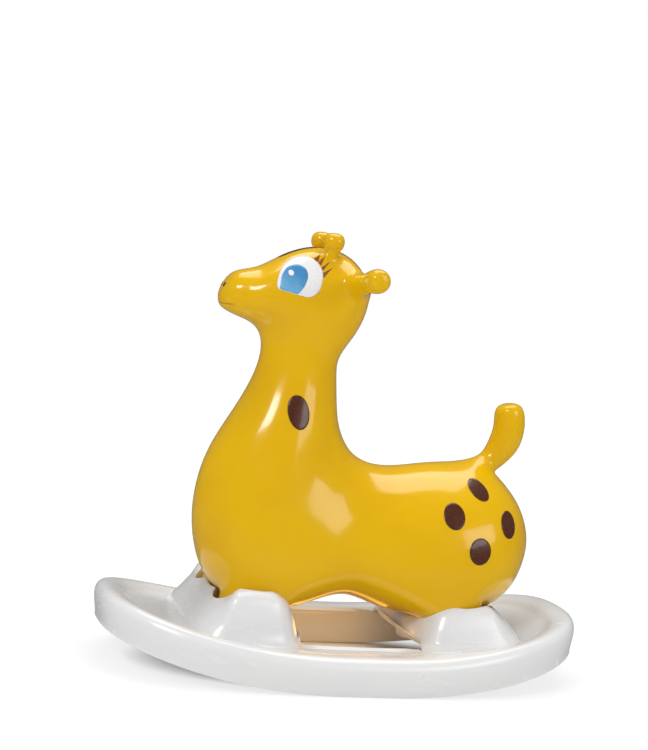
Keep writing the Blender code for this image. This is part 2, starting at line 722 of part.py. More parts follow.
def prints(skin, parts, brown, white, blue, grey):
    """The eyes, the lashes, the nostrils and the spots, on both sides, and the patch on the head."""
    for word, side in (("left", 1), ("right", -1)):
        aside = Matrix(((0, 0, side), (1, 0, 0), (0, 1, 0)))
        forward = Matrix(((side, 0, 0), (0, 0, -1), (0, 1, 0)))
        eye = print_on(skin, f"eye_white_{word}", finer(EYE_WHITE, 48), aside, 14, parts, white)
        iris = print_on(surface_of(eye), f"iris_{word}", finer(IRIS, 24), aside, 6, parts, blue)
        print_on(surface_of(iris), f"eye_glint_{word}", oval(GLINT, 8), aside, 2, parts, white)
        for number, lash in enumerate(LASHES, 1):
            print_on(skin, f"lash_{number}_{word}", spike(*lash), aside, 2, parts, brown)
        print_on(skin, f"nostril_{word}", oval(NOSTRIL, 8), forward, 2, parts, grey)
        for number, spot in enumerate(RUMP_SPOTS, 1):
            print_on(skin, f"rump_spot_{number}_{word}", oval(spot), aside, 4, parts, brown)
        print_on(skin, f"neck_spot_{word}", oval(NECK_SPOT), aside, 4, parts, brown)
    patch = CROWN_PATCH + [(-x, y) for x, y in CROWN_PATCH[-2:0:-1]]
    print_on(skin, "crown_patch", finer(patch, 48), Matrix.Identity(3), 4, parts, brown)


def main():
    clear_scene()
    parts = bpy.data.collections.new("inflatable_giraffe_on_rocker")
    cutters = bpy.data.collections.new("cutters")
    bpy.context.scene.collection.children.link(parts)
    bpy.context.scene.collection.children.link(cutters)
    yellow = material("yellow_pvc", (0.80, 0.47, 0.01), 0.25, 0.6)
    pearl = material("pearl_white_plastic", (0.80, 0.80, 0.78), 0.35, 0.3)
    brown = material("brown_print", (0.09, 0.02, 0.006), 0.3, 0.4)
    white = material("white_print", (0.86, 0.86, 0.84), 0.3, 0.4)
    blue = material("blue_print", (0.06, 0.29, 0.58), 0.3, 0.4)
    grey = material("grey_print", (0.06, 0.07, 0.09), 0.3, 0.4)
    body = outer_form(cutters, "giraffe_form")
    surface = surface_of(body)
    hit, _, _, _ = surface.ray_cast(Vector((0, 1, VALVE_Z)), Vector((0, -1, 0)))
    giraffe_skin(parts, cutters, yellow, hit.y)
    air_plug(parts, yellow, hit.y)
    prints(surface, parts, brown, white, blue, grey)
    rocker_base(parts, cutters, pearl, surface, lowest(body))


main()
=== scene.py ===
"""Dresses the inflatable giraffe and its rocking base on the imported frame, and sets up the stage.

The frame is loaded at the top. Each operator below makes one piece or one group of like pieces, main()
calls them in order, and the panel in the sidebar lists them. Metres, +Z up, the nose along -Y.
"""

import math
from collections import namedtuple

import bmesh
import bpy
import numpy as np
from bpy.props import FloatProperty, FloatVectorProperty, IntProperty, PointerProperty
from mathutils import Matrix, Vector
from mathutils.bvhtree import BVHTree


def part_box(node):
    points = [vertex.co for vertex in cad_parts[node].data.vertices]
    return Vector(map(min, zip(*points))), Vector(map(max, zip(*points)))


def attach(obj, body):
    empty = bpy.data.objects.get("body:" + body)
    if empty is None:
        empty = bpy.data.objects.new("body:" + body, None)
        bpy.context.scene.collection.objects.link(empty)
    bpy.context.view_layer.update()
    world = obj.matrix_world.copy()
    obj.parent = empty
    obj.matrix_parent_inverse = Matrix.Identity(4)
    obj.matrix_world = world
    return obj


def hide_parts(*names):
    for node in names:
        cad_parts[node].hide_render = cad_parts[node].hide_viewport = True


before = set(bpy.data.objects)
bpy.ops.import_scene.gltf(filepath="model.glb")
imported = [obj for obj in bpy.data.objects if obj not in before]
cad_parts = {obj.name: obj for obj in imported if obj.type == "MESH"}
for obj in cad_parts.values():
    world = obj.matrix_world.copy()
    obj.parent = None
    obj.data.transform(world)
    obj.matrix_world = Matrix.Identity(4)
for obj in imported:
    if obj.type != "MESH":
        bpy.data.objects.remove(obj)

bl_info = {
    "name": "Inflatable giraffe on a rocking base",
    "version": (1, 0, 0),
    "blender": (4, 5, 0),
    "location": "3D View > Sidebar > Giraffe",
    "description": "Builds the soft giraffe, its prints and plug, the pearl base and the stage",
    "category": "Add Mesh",
}

# The line between the lips: its height, half its width, the y at which it ends, the run over which it fades
# out there, and how much darker it is painted, as shade in the crease between the lips.
LIP_HEIGHT, LIP_HALF_WIDTH, LIP_END = 0.4909, 0.0014, -0.1925
LIP_FADE = 0.008
LIP_SHADE = 0.55

# Giraffe: each section of the trunk from rump to muzzle, as its lowest point (y, z), its highest point
# (y, z), its half width, and how far the widest place lies above the middle, as a share of the height.
RING_POINTS = 16
TRUNK_SECTIONS = np.array([
    (0.2460, 0.124, 0.2400, 0.256, 0.0680, 0.00),
    (0.2180, 0.094, 0.2080, 0.286, 0.0960, -0.06),
    (0.1720, 0.084, 0.1560, 0.296, 0.1100, -0.12),
    (0.1120, 0.079, 0.1150, 0.294, 0.1110, -0.15),
    (0.0530, 0.084, 0.0780, 0.287, 0.1040, -0.15),
    (-0.0030, 0.111, 0.0450, 0.283, 0.0950, -0.12),
    (-0.0520, 0.091, 0.0160, 0.288, 0.0930, -0.13),
    (-0.0920, 0.080, -0.0050, 0.301, 0.0960, -0.17),
    (-0.1380, 0.084, -0.0180, 0.319, 0.0980, -0.18),
    (-0.1840, 0.100, -0.0270, 0.339, 0.0940, -0.15),
    (-0.2110, 0.145, -0.0320, 0.359, 0.0870, -0.08),
    (-0.2235, 0.210, -0.0350, 0.378, 0.0775, -0.02),
    (-0.2120, 0.282, -0.0370, 0.396, 0.0670, 0.00),
    (-0.1810, 0.336, -0.0385, 0.411, 0.0580, 0.00),
    (-0.1540, 0.388, -0.0390, 0.424, 0.0520, 0.00),
    (-0.1440, 0.428, -0.0330, 0.440, 0.0490, 0.00),
    (-0.1480, 0.452, -0.0150, 0.465, 0.0520, 0.00),
    (-0.1580, 0.464, -0.0010, 0.500, 0.0560, 0.00),
    (-0.1690, 0.470, -0.0050, 0.541, 0.0580, -0.02),
    (-0.1800, 0.474, -0.0340, 0.573, 0.0560, -0.06),
    (-0.1890, 0.477, -0.0830, 0.583, 0.0500, -0.08),
    (-0.1970, 0.480, -0.1280, 0.5655, 0.0430, -0.06),
    (-0.2040, 0.483, -0.1600, 0.5420, 0.0370, 0.00),
    (-0.2110, 0.488, -0.1930, 0.5385, 0.0310, 0.00),
])
# How far the two ends are pushed out past their last sections, and the share of it between the two.
RUMP_SWELL = (0, 0.026, 0)
MUZZLE_SWELL = (0, -0.010, -0.002)
SWELL_SHARE = 0.22

# Limbs: centre (x, y, z) and radius of each ring, from the root to the tip.
FRONT_LEG = np.array([
    (0.058, -0.145, 0.086, 0.0450), (0.058, -0.147, 0.066, 0.0420),
    (0.058, -0.148, 0.046, 0.0395), (0.058, -0.148, 0.037, 0.0340),
])
REAR_LEG = np.array([
    (0.060, 0.156, 0.084, 0.0440), (0.060, 0.158, 0.066, 0.0420),
    (0.060, 0.159, 0.046, 0.0395), (0.060, 0.159, 0.037, 0.0340),
])
EAR = np.array([
    (0.055, -0.0320, 0.5310, 0.0175), (0.075, -0.0320, 0.5350, 0.0140),
    (0.098, -0.0320, 0.5390, 0.0135), (0.118, -0.0315, 0.5415, 0.0160),
    (0.136, -0.0310, 0.5430, 0.0170), (0.146, -0.0305, 0.5435, 0.0115),
])
HORN = np.array([
    (0.0305, -0.070, 0.5690, 0.0095), (0.0308, -0.069, 0.5755, 0.0095),
    (0.0310, -0.068, 0.5815, 0.0152), (0.0312, -0.067, 0.5925, 0.0152),
    (0.0312, -0.067, 0.6000, 0.0090),
])
TAIL = np.array([
    (0.0, 0.1980, 0.294, 0.0150), (0.0, 0.2110, 0.308, 0.0185),
    (0.0, 0.2240, 0.328, 0.0230), (0.0, 0.2275, 0.348, 0.0225),
    (0.0, 0.2265, 0.365, 0.0225), (0.0, 0.2220, 0.384, 0.0185),
])
# Where the limbs leave the trunk: the section and the place round it of the first of their faces.
REAR_LEG_ROOT = (2, 5)
FRONT_LEG_ROOT = (7, 5)
EAR_ROOT = (17, 1)
HORN_ROOT = (19, 1)
TAIL_ROOT = (1, 0)

# Prints of the left side, as (y, z) seen from that side.
RUMP_SPOTS = [
    (0.1260, 0.2310, 0.0150, 0.0172, 0),
    (0.1670, 0.2655, 0.0165, 0.0112, -40),
    (0.2080, 0.2225, 0.0120, 0.0182, 6),
    (0.1625, 0.1870, 0.0160, 0.0182, -8),
]
NECK_SPOT = (-0.1020, 0.3560, 0.0150, 0.0230, 12)
EYE_WHITE = np.array([
    (-0.1441, 0.5193), (-0.1451, 0.5254), (-0.1430, 0.5356), (-0.1375, 0.5466), (-0.1287, 0.5561),
    (-0.1186, 0.5621), (-0.1076, 0.5648), (-0.0984, 0.5631), (-0.0904, 0.5576), (-0.0849, 0.5500),
    (-0.0834, 0.5400), (-0.0850, 0.5298), (-0.0882, 0.5206), (-0.0945, 0.5137), (-0.1016, 0.5108),
    (-0.1095, 0.5114), (-0.1187, 0.5129), (-0.1303, 0.5152), (-0.1399, 0.5170),
])
IRIS = np.array([
    (-0.1403, 0.5182), (-0.1405, 0.5258), (-0.1387, 0.5354), (-0.1345, 0.5434), (-0.1285, 0.5489),
    (-0.1208, 0.5519), (-0.1134, 0.5520), (-0.1073, 0.5486), (-0.1044, 0.5419), (-0.1049, 0.5344),
    (-0.1083, 0.5257), (-0.1132, 0.5184), (-0.1180, 0.5137), (-0.1291, 0.5158),
])
GLINT = (-0.1266, 0.5406, 0.0037, 0.0037, 0)
LASHES = np.array([
    ((-0.0846, 0.5708), (-0.0960, 0.5618), (-0.0891, 0.5600)),
    ((-0.0792, 0.5679), (-0.0891, 0.5592), (-0.0852, 0.5546)),
    ((-0.0720, 0.5609), (-0.0847, 0.5527), (-0.0828, 0.5479)),
    ((-0.0688, 0.5532), (-0.0829, 0.5457), (-0.0825, 0.5382)),
])
LASH_BOW = 0.10
LASH_TAPER = 0.92
NOSTRIL = (0.0082, 0.5164, 0.0030, 0.0030, 0)
# The patch on the head, as (x, y) seen from above: its left half, from its front end to its rear one.
CROWN_HALF = np.array([
    (0.0000, -0.136), (0.0065, -0.128), (0.0090, -0.105), (0.0095, -0.075), (0.0115, -0.045),
    (0.0125, -0.028), (0.0085, -0.019), (0.0000, -0.016),
])
CROWN_PATCH = np.concatenate([CROWN_HALF, CROWN_HALF[-2:0:-1] * (-1, 1)])
# Each layer of ink lies this much further off the skin. Prints are thrown at the skin from this far off the
# middle, the one on the head from still higher up.
PRINT_LIFT = 0.00025
PRINT_THICKNESS = 0.00012
THROW_FROM = 0.6
HEAD_ROOM = 0.4

# Valve in the rump.
VALVE_Z = 0.178
VALVE_SEAT_RADIUS = 0.0105
VALVE_SEAT_DEPTH = 0.0022
VALVE_HOLE = 0.0050
VALVE_DEPTH = 0.0200

# Base, in plan an oblong with rounded ends, bent up to both ends. Its section from the outer lip, over
# the rim and the deck, to the hole: the inset from the outline, the height, and the share of the recess
# by which it is lower.
BASE_HALF_LENGTH = 0.340
BASE_HALF_WIDTH = 0.182
BASE_SQUARENESS = 2.7
BASE_WALL = 0.0040
RIM_HEIGHT = 0.050
RIM_SECTION = np.array([
    (0.0030, 0.0000, 0.00), (0.0030, 0.0030, 0.00), (0.0026, 0.0075, 0.00), (0.0012, 0.0160, 0.00),
    (0.0000, 0.0260, 0.00), (0.0004, 0.0335, 0.00), (0.0026, 0.0400, 0.00), (0.0068, 0.0454, 0.00),
    (0.0125, 0.0487, 0.00), (0.0190, 0.0500, 0.00), (0.0265, 0.0500, 0.02), (0.0330, 0.0500, 0.14),
    (0.0375, 0.0500, 0.45), (0.0415, 0.0500, 0.80), (0.0455, 0.0500, 0.96), (0.0500, 0.0500, 1.00),
])
RECESS_DEPTH = 0.0095
SIDE_RECESS = 0.0022
# Along the hole, as shares of its half length, the deck's recess deepens from the first to the second.
RECESS_RUN = (0.55, 0.98)
ROCK_RADIUS = 0.97
FLAT_HALF_LENGTH = 0.030
HOLE_HALF_LENGTH = 0.210
HOLE_HALF_WIDTH = 0.116
HOLE_SQUARENESS = 6.0
HOLE_EDGE = 0.0035

# Humps: how far each step has leant in from the foot's outline, and its height.
HUMP_HALF_WIDTH = 0.131
HUMP_SQUARENESS = 4.8
HUMP_WALL = np.array([
    (0.0000, 0.050), (0.0045, 0.063), (0.0090, 0.079), (0.0142, 0.0925), (0.0170, 0.0990),
    (0.0228, 0.1060), (0.0340, 0.1125), (0.0500, 0.1165), (0.0800, 0.1190),
])
# Each hump: its middle, its half length, its rise as a share of the steps' rise, and how many times further
# in its wall leans at its two sides and at its outer end.
Hump = namedtuple("Hump", "y half_length rise side_lean end_lean")
FRONT_HUMP = Hump(-0.149, 0.074, 1.0, 0.6, 2.0)
REAR_HUMP = Hump(0.161, 0.077, 0.9, 1.0, 1.9)
# Its foot: the inset and rise over the deck, and those over the hole, where the wall ends in an arch.
HUMP_FEET = [
    (-0.0090, -0.0035, 0.0055, -0.0022), (-0.0080, -0.0012, 0.0030, -0.0012),
    (-0.0055, 0.0005, 0.0012, 0.0000), (-0.0030, 0.0026, 0.0004, 0.0018),
    (-0.0010, 0.0065, 0.0002, 0.0045),
]
HUMP_ARCH = 0.0560
# Runs over which it changes: from deck to hole at the foot, by the way in from the hole's side; the deck's
# recess under the foot, by y; and the walls' lean and the crest's fall, by how far along the hump they lie.
FOOT_RUN = (-0.002, 0.016)
FOOT_RECESS_RUN = (0.13, 0.205)
HOLE_LEAN_RUN = (0.45, 0.95)
END_LEAN_RUN = (0.40, 0.98)
CREST_FALL = 0.13
CREST_FALL_RUN = (-0.1, 0.9)
CRADLE_GAP = 0.0022
CREST_REACH = 0.0060
SOCKET_PLAY = 0.0025
SOCKET_WALL = 0.0040
SOCKET_FLOOR = 0.0330

# How finely the base is drawn: points round its ring and round a hump.
BASE_COLUMNS = 300
HUMP_COLUMNS = 248
# Rows up a hump, as insets: the first, the last and how many up its wall, and the same over its top but for
# the last, which is the ridge.
WALL_ROWS = (0.0022, 0.030, 20)
TOP_ROWS = (0.0325, 18)
WALL_BLUR = 19
# The grid of heights under the body: its step and the height that it is cut off at.
CRADLE_STEP = 0.003
CRADLE_TOP = 0.17

MERGE_DISTANCE = 0.00001

# Camera, as fitted to the photo: its place and the directions to its right and its top.
CAMERA_PLACE = (2.35393881, -0.73150854, 0.60644099)
CAMERA_RIGHT = Vector((0.26725097, 0.95838509, 0.10037398))
CAMERA_UP = Vector((-0.1067777, -0.07406875, 0.99152022))
LIGHT_AIM = (0.0, -0.02, 0.28)
FLOOR_HALF = 6.0
FLOOR_DROP = 0.0005
# The floor turns plain white for the camera away from the middle: between two distances, from one share
# to another, first near the base and then further out.
NEAR_PLAIN = (0.125, 0.165, 0.0, 0.72)
FAR_PLAIN = (0.30, 0.60, 0.0, 0.28)


# Small helpers that several pieces share


def smooth_step(value, low, high):
    """0 below low and 1 above high, with no corner between them: 3 s squared less 2 s cubed."""
    share = np.clip((value - low) / (high - low), 0, 1)
    return share * share * (3 - 2 * share)


def softer_least(first, second, reach):
    """The smaller of two heights, rounded where they cross, over the reach."""
    share = np.clip(0.5 + 0.5 * (second - first) / reach, 0, 1)
    return second + (first - second) * share - reach * share * (1 - share)


def through_four(neighbours, t):
    """A cubic from the second of four neighbours to the third, headed along the outer two."""
    before, here, after, beyond = neighbours
    return 0.5 * (
        2 * here + (after - before) * t
        + (2 * before - 5 * here + 4 * after - beyond) * t**2
        + (3 * here - before - 3 * after + beyond) * t**3
    )


def closed_curve(points, count):
    """Even steps along a smooth closed curve through the points."""
    place = np.arange(count) * len(points) / count
    index = np.floor(place).astype(int)
    neighbours = [points[(index + shift) % len(points)] for shift in (-1, 0, 1, 2)]
    return through_four(neighbours, (place - index)[:, None])


def smooth_rows(rows, between):
    """More rows between the given ones, along smooth curves through these; the ends stay."""
    rows = np.concatenate([2 * rows[:1] - rows[1:2], rows, 2 * rows[-1:] - rows[-2:-1]])
    steps = np.arange((len(rows) - 3) * between + 1) / between
    index = np.minimum(np.floor(steps).astype(int), len(rows) - 4)
    return through_four([rows[index + shift] for shift in range(4)], (steps - index)[:, None, None])


def oval(middle_y, middle_z, half_y, half_z, lean, count):
    """An ellipse: the two half sizes times the cosine and sine of the turn, leant by some degrees."""
    turn = np.arange(count) * 2 * math.pi / count
    y, z, lean = half_y * np.cos(turn), half_z * np.sin(turn), math.radians(lean)
    return np.stack([middle_y + y * math.cos(lean) - z * math.sin(lean),
                     middle_z + y * math.sin(lean) + z * math.cos(lean)], axis=1)


def oblong(turn, half_width, half_length, squareness):
    """A superellipse: each half size times the cosine or sine to the power of two by the squareness."""
    power = 2 / squareness
    x = half_width * np.sign(np.cos(turn)) * np.abs(np.cos(turn)) ** power
    y = half_length * np.sign(np.sin(turn)) * np.abs(np.sin(turn)) ** power
    return np.stack([x, y], axis=-1)


def even_oblong(half_width, half_length, squareness, count):
    """The superellipse in equal steps of its own length, the same in each quarter."""
    turn = np.linspace(0, math.pi / 2, 6001)
    points = oblong(turn, half_width, half_length, squareness)
    run = np.concatenate([[0], np.cumsum(np.linalg.norm(np.diff(points, axis=0), axis=1))])
    steps = np.linspace(0, run[-1], count // 4 + 1)
    quarter = np.stack([np.interp(steps, run, points[:, axis]) for axis in (0, 1)], axis=1)
    rear = np.concatenate([quarter, quarter[-2:0:-1] * (-1, 1)])
    return np.concatenate([rear, -rear])


def lift(y):
    """How far the base's underside stands off the floor: flat at the middle, then an arc."""
    run = np.maximum(np.abs(y) - FLAT_HALF_LENGTH, 0)
    return ROCK_RADIUS - np.sqrt(ROCK_RADIUS**2 - run**2)


def grid_faces(rows, columns, closed=True):
    """Quads of a grid whose points run along the columns first; closed joins its last column to its first."""
    along = np.arange(columns if closed else columns - 1)
    row, place = np.meshgrid(np.arange(rows - 1), along, indexing="ij")
    after = (place + 1) % columns
    corners = [row * columns + place, row * columns + after,
               (row + 1) * columns + after, (row + 1) * columns + place]
    return np.stack(corners, axis=-1).reshape(-1, 4)


def placed(name, data):
    """A new object of some data, linked to the scene."""
    made = bpy.data.objects.new(name, data)
    bpy.context.scene.collection.objects.link(made)
    return made


def tidy_mesh(mesh):
    """Merges doubles, turns the faces outwards and shades them smooth."""
    bm = bmesh.new()
    bm.from_mesh(mesh)
    bmesh.ops.remove_doubles(bm, verts=bm.verts, dist=MERGE_DISTANCE)
    bmesh.ops.dissolve_degenerate(bm, edges=bm.edges, dist=MERGE_DISTANCE)
    bmesh.ops.recalc_face_normals(bm, faces=bm.faces)
    bm.to_mesh(mesh)
    bm.free()
    mesh.shade_smooth()


def new_piece(name, points, faces, tidy=True):
    """A new object from an array of points and a list or array of faces."""
    mesh = bpy.data.meshes.new(name)
    mesh.from_pydata(np.asarray(points, dtype=float).reshape(-1, 3).tolist(), [],
                     [list(map(int, face)) for face in faces])
    if tidy:
        tidy_mesh(mesh)
    return placed(name, mesh)


def face_up(piece):
    """Turns an open shell whose faces mostly look down the other way round."""
    normals = np.empty(len(piece.data.polygons) * 3)
    piece.data.polygons.foreach_get("normal", normals)
    if normals[2::3].sum() < 0:
        piece.data.flip_normals()


def settle(piece):
    """Writes what the modifiers make into the mesh, and leaves no modifier on the piece."""
    bpy.context.view_layer.update()
    made = bpy.data.meshes.new_from_object(piece.evaluated_get(bpy.context.evaluated_depsgraph_get()))
    piece.modifiers.clear()
    piece.data = made
    return piece


def join(name, pieces):
    """One object out of several, each with its own closed shell."""
    bm = bmesh.new()
    for piece in pieces:
        bm.from_mesh(piece.data)
        bpy.data.objects.remove(piece)
    mesh = bpy.data.meshes.new(name)
    bm.to_mesh(mesh)
    bm.free()
    mesh.shade_smooth()
    return placed(name, mesh)


def subdivide(piece, levels):
    """Rounds a coarse cage, to be settled later."""
    smooth = piece.modifiers.new("Subdivision", "SUBSURF")
    smooth.levels = smooth.render_levels = levels


def thicken(piece, thickness, side):
    """Gives an open shell a wall, on the side that its faces look to (1) or on the other (-1)."""
    wall = piece.modifiers.new("Wall", "SOLIDIFY")
    wall.thickness = thickness
    wall.offset = side


def cut(piece, tool):
    """Takes the tool's body out of the piece."""
    boolean = piece.modifiers.new("Cut", "BOOLEAN")
    boolean.operation = "DIFFERENCE"
    boolean.solver = "EXACT"
    boolean.object = tool


def sharpen(piece, angle):
    """Keeps an edge crisp where the faces at it turn by more than some degrees."""
    piece.data.shade_smooth()
    piece.data.set_sharp_from_angle(angle=math.radians(angle))


def finished(piece, body, node, material):
    """Gives a piece its finish, its body and the CAD node that it stands for."""
    piece.data.materials.clear()
    piece.data.materials.append(material)
    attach(piece, body)
    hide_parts(node)


# Finishes


def new_finish(name):
    """(material, node tree, shader, place on the object) of a new finish."""
    made = bpy.data.materials.new(name)
    made.use_nodes = True
    tree = made.node_tree
    return made, tree, tree.nodes["Principled BSDF"], tree.nodes.new("ShaderNodeTexCoord").outputs["Object"]


def feed(tree, node, inputs):
    """Sets a node's inputs, each to a value or from the output that feeds it."""
    for name, value in inputs.items():
        if isinstance(value, bpy.types.NodeSocket):
            tree.links.new(value, node.inputs[name])
        else:
            node.inputs[name].default_value = value


def add_node(tree, kind, inputs=(), **settings):
    """A node with its settings and its inputs."""
    made = tree.nodes.new(kind)
    for name, value in settings.items():
        setattr(made, name, value)
    feed(tree, made, dict(inputs))
    return made


def noise(tree, place, scale, detail=2.0, rough=0.5, distortion=0.0):
    """The grey value of a noise of some scale, in cycles a metre."""
    made = add_node(tree, "ShaderNodeTexNoise", {
        "Vector": place, "Scale": scale, "Detail": detail, "Roughness": rough, "Distortion": distortion})
    return made.outputs[0]


def ranged(tree, value, low, high, to_low, to_high):
    """A value taken from one range to another and held at its ends."""
    return add_node(tree, "ShaderNodeMapRange", {
        "Value": value, "From Min": low, "From Max": high, "To Min": to_low, "To Max": to_high,
    }).outputs[0]


def blended(tree, share, first, second):
    """A colour between two, each a colour or an output."""
    made = add_node(tree, "ShaderNodeMix", data_type="RGBA")
    ends = [end if isinstance(end, bpy.types.NodeSocket) else (*end[:3], 1.0) for end in (first, second)]
    feed(tree, made, {0: share, 6: ends[0], 7: ends[1]})
    return made.outputs[2]


def mixed(tree, share, first, second):
    """A shader between two."""
    return add_node(tree, "ShaderNodeMixShader", {0: share, 1: first, 2: second}).outputs[0]


def stretched(tree, place, scale):
    """A place whose axes are scaled, each by its own amount."""
    return add_node(tree, "ShaderNodeMapping", {"Vector": place, "Scale": scale}).outputs[0]


def summed(tree, kind, first, second):
    """Arithmetic on two values, each a number or an output."""
    return add_node(tree, "ShaderNodeMath", {0: first, 1: second}, operation=kind).outputs[0]


def bumped(tree, height, strength, distance, before=None):
    """A normal bent by a height, on top of the one before it."""
    inputs = {"Height": height, "Strength": strength, "Distance": distance}
    if before is not None:
        inputs["Normal"] = before
    return add_node(tree, "ShaderNodeBump", inputs).outputs[0]


def vinyl_finish(settings):
    """Glossy soft vinyl: slow changes of tone, the orange peel of the mould, faint dust and rub marks.

    The line between the lips is pressed in and painted darker, as the shade in its crease, and the mould's
    seam stands up along the middle.
    """
    made, tree, shader, place = new_finish("glossy_yellow_vinyl")
    x, y, z = add_node(tree, "ShaderNodeSeparateXYZ", {0: place}).outputs
    slow = ranged(tree, noise(tree, place, 9.0, 3.0, 0.5, 0.4), 0.3, 0.7, 0.0, 1.0)
    tone = blended(tree, slow, settings.colour, settings.deep_colour)
    off_lips = summed(tree, "ABSOLUTE", summed(tree, "SUBTRACT", z, LIP_HEIGHT), 0.0)
    lips = ranged(tree, off_lips, LIP_HALF_WIDTH / 3, LIP_HALF_WIDTH, 1.0, 0.0)
    lips = summed(tree, "MULTIPLY", lips, ranged(tree, y, LIP_END - LIP_FADE, LIP_END, 1.0, 0.0))
    # Painted shade: the lip line is darkened towards a deep brown, standing in for the shade in its crease.
    tone = blended(tree, summed(tree, "MULTIPLY", lips, LIP_SHADE), tone, (0.36, 0.17, 0.0004))
    dust = ranged(tree, noise(tree, place, 420.0, 2.0, 0.6), 0.62, 0.80, 0.0, 0.10)
    rub = noise(tree, stretched(tree, place, (9.0, 2.2, 5.0)), 6.0, 6.0, 0.65, 0.6)
    seam = ranged(tree, summed(tree, "ABSOLUTE", x, 0.0), 0.0002, 0.0011, 1.0, 0.0)
    normal = bumped(tree, noise(tree, place, 7.0, 1.0, 0.3), 0.25, 0.004)
    normal = bumped(tree, noise(tree, place, 130.0, 2.0, 0.5), 0.030, 0.0006, normal)
    normal = bumped(tree, seam, 0.35, 0.0003, normal)
    normal = bumped(tree, summed(tree, "SUBTRACT", 1.0, lips), 0.5, 0.0008, normal)
    feed(tree, shader, {
        "Base Color": blended(tree, dust, tone, (0.80, 0.60, 0.10)),
        "Roughness": ranged(tree, rub, 0.35, 0.75, settings.gloss, settings.gloss + 0.10), "Normal": normal,
        "Specular IOR Level": 0.4, "Coat Weight": 0.35, "Coat Roughness": 0.05,
        "Subsurface Weight": 0.06, "Subsurface Scale": 0.01, "Subsurface Radius": (1.0, 0.6, 0.05)})
    return made


def print_with(tree, shader, place, colour):
    """Gives printed ink its colour, its uneven gloss and its soft grain."""
    feed(tree, shader, {
        "Base Color": colour,
        "Roughness": ranged(tree, noise(tree, place, 240.0, 2.0), 0.35, 0.7, 0.22, 0.32),
        "Normal": bumped(tree, noise(tree, place, 900.0, 2.0), 0.05, 0.0002),
        "Specular IOR Level": 0.5, "Coat Weight": 0.45, "Coat Roughness": 0.06})


def ink_finish(name, colour, second):
    """Printed ink: two near tones in a fine mottle."""
    made, tree, shader, place = new_finish(name)
    mottle = ranged(tree, noise(tree, place, 85.0, 4.0, 0.6), 0.35, 0.68, 0.0, 1.0)
    print_with(tree, shader, place, blended(tree, mottle, colour, second))
    return made


def iris_finish(settings):
    """The iris's print: blue that is deeper towards the top and paler at its lower front edge."""
    made, tree, shader, place = new_finish("blue_iris_ink")
    _, y, z = add_node(tree, "ShaderNodeSeparateXYZ", {0: place}).outputs
    slant = summed(tree, "ADD", z, summed(tree, "MULTIPLY", y, 0.55))
    share = ranged(tree, slant, 0.4465, 0.4800, 0.0, 1.0)
    speckle = ranged(tree, noise(tree, place, 120.0, 4.0, 0.6), 0.3, 0.7, -0.12, 0.12)
    share = add_node(tree, "ShaderNodeMath", {0: share, 1: speckle}, operation="ADD", use_clamp=True)
    print_with(tree, shader, place, blended(tree, share.outputs[0], settings.iris_pale, settings.iris_deep))
    return made


def pearl_finish(settings):
    """Pearl plastic: pale swirls of the pigment, a satin gloss that wanders, specks and fine scuffs."""
    made, tree, shader, place = new_finish("pearl_white_plastic")
    swirl = ranged(tree, noise(tree, place, 7.0, 5.0, 0.55, 1.6), 0.32, 0.68, 0.0, 1.0)
    tone = blended(tree, swirl, settings.colour, settings.second_colour)
    flow = stretched(tree, place, (2.0, 1.0, 9.0))
    streak = ranged(tree, noise(tree, flow, 6.0, 4.0, 0.55, 0.8), 0.40, 0.75, 0.0, 0.12)
    tone = blended(tree, streak, tone, (0.85, 0.85, 0.845))
    specks = add_node(tree, "ShaderNodeTexVoronoi", {"Vector": place, "Scale": 55.0}).outputs
    chosen = ranged(tree, specks["Color"], 0.90, 0.91, 0.0, 1.0)
    speck = summed(tree, "MULTIPLY", chosen, ranged(tree, specks["Distance"], 0.035, 0.060, 0.75, 0.0))
    scuff = noise(tree, stretched(tree, place, (3.0, 1.0, 3.0)), 14.0, 5.0, 0.6, 0.3)
    normal = bumped(tree, noise(tree, place, 5.0, 1.0, 0.3), 0.04, 0.003)
    feed(tree, shader, {
        "Base Color": blended(tree, speck, tone, (0.30, 0.29, 0.28)),
        "Roughness": ranged(tree, scuff, 0.38, 0.72, settings.gloss, settings.gloss + 0.05),
        "Normal": bumped(tree, noise(tree, place, 380.0, 3.0, 0.6), 0.035, 0.0003, normal),
        "Specular IOR Level": 0.6, "Coat Weight": 0.50, "Coat Roughness": 0.20,
        "Subsurface Weight": 0.05, "Subsurface Scale": 0.006, "Subsurface Radius": (1.0, 0.95, 0.9)})
    return made


# The giraffe's soft body


def swell(points):
    """How much wider a cage's ring is than the round that subdivision draws from it."""
    return 6 / (4 + 2 * math.cos(2 * math.pi / points))


def trunk_points():
    """Rings by places round the left half: an ellipse between each section's lowest and highest point.

    Up the ring goes half the cosine of the turn, plus the widest place's share times the sine squared,
    and aside goes the half width times the sine.
    """
    low_y, low_z, high_y, high_z, half_width, widest = TRUNK_SECTIONS.T[:, :, None]
    turn = np.linspace(0, math.pi, RING_POINTS // 2 + 1)
    up = swell(RING_POINTS) * (0.5 * np.cos(turn) + widest * np.sin(turn) ** 2)
    y = (low_y + high_y) / 2 + up * (high_y - low_y)
    z = (low_z + high_z) / 2 + up * (high_z - low_z)
    x = half_width * swell(RING_POINTS) * np.sin(turn)
    return np.stack([x, y, z], axis=-1)


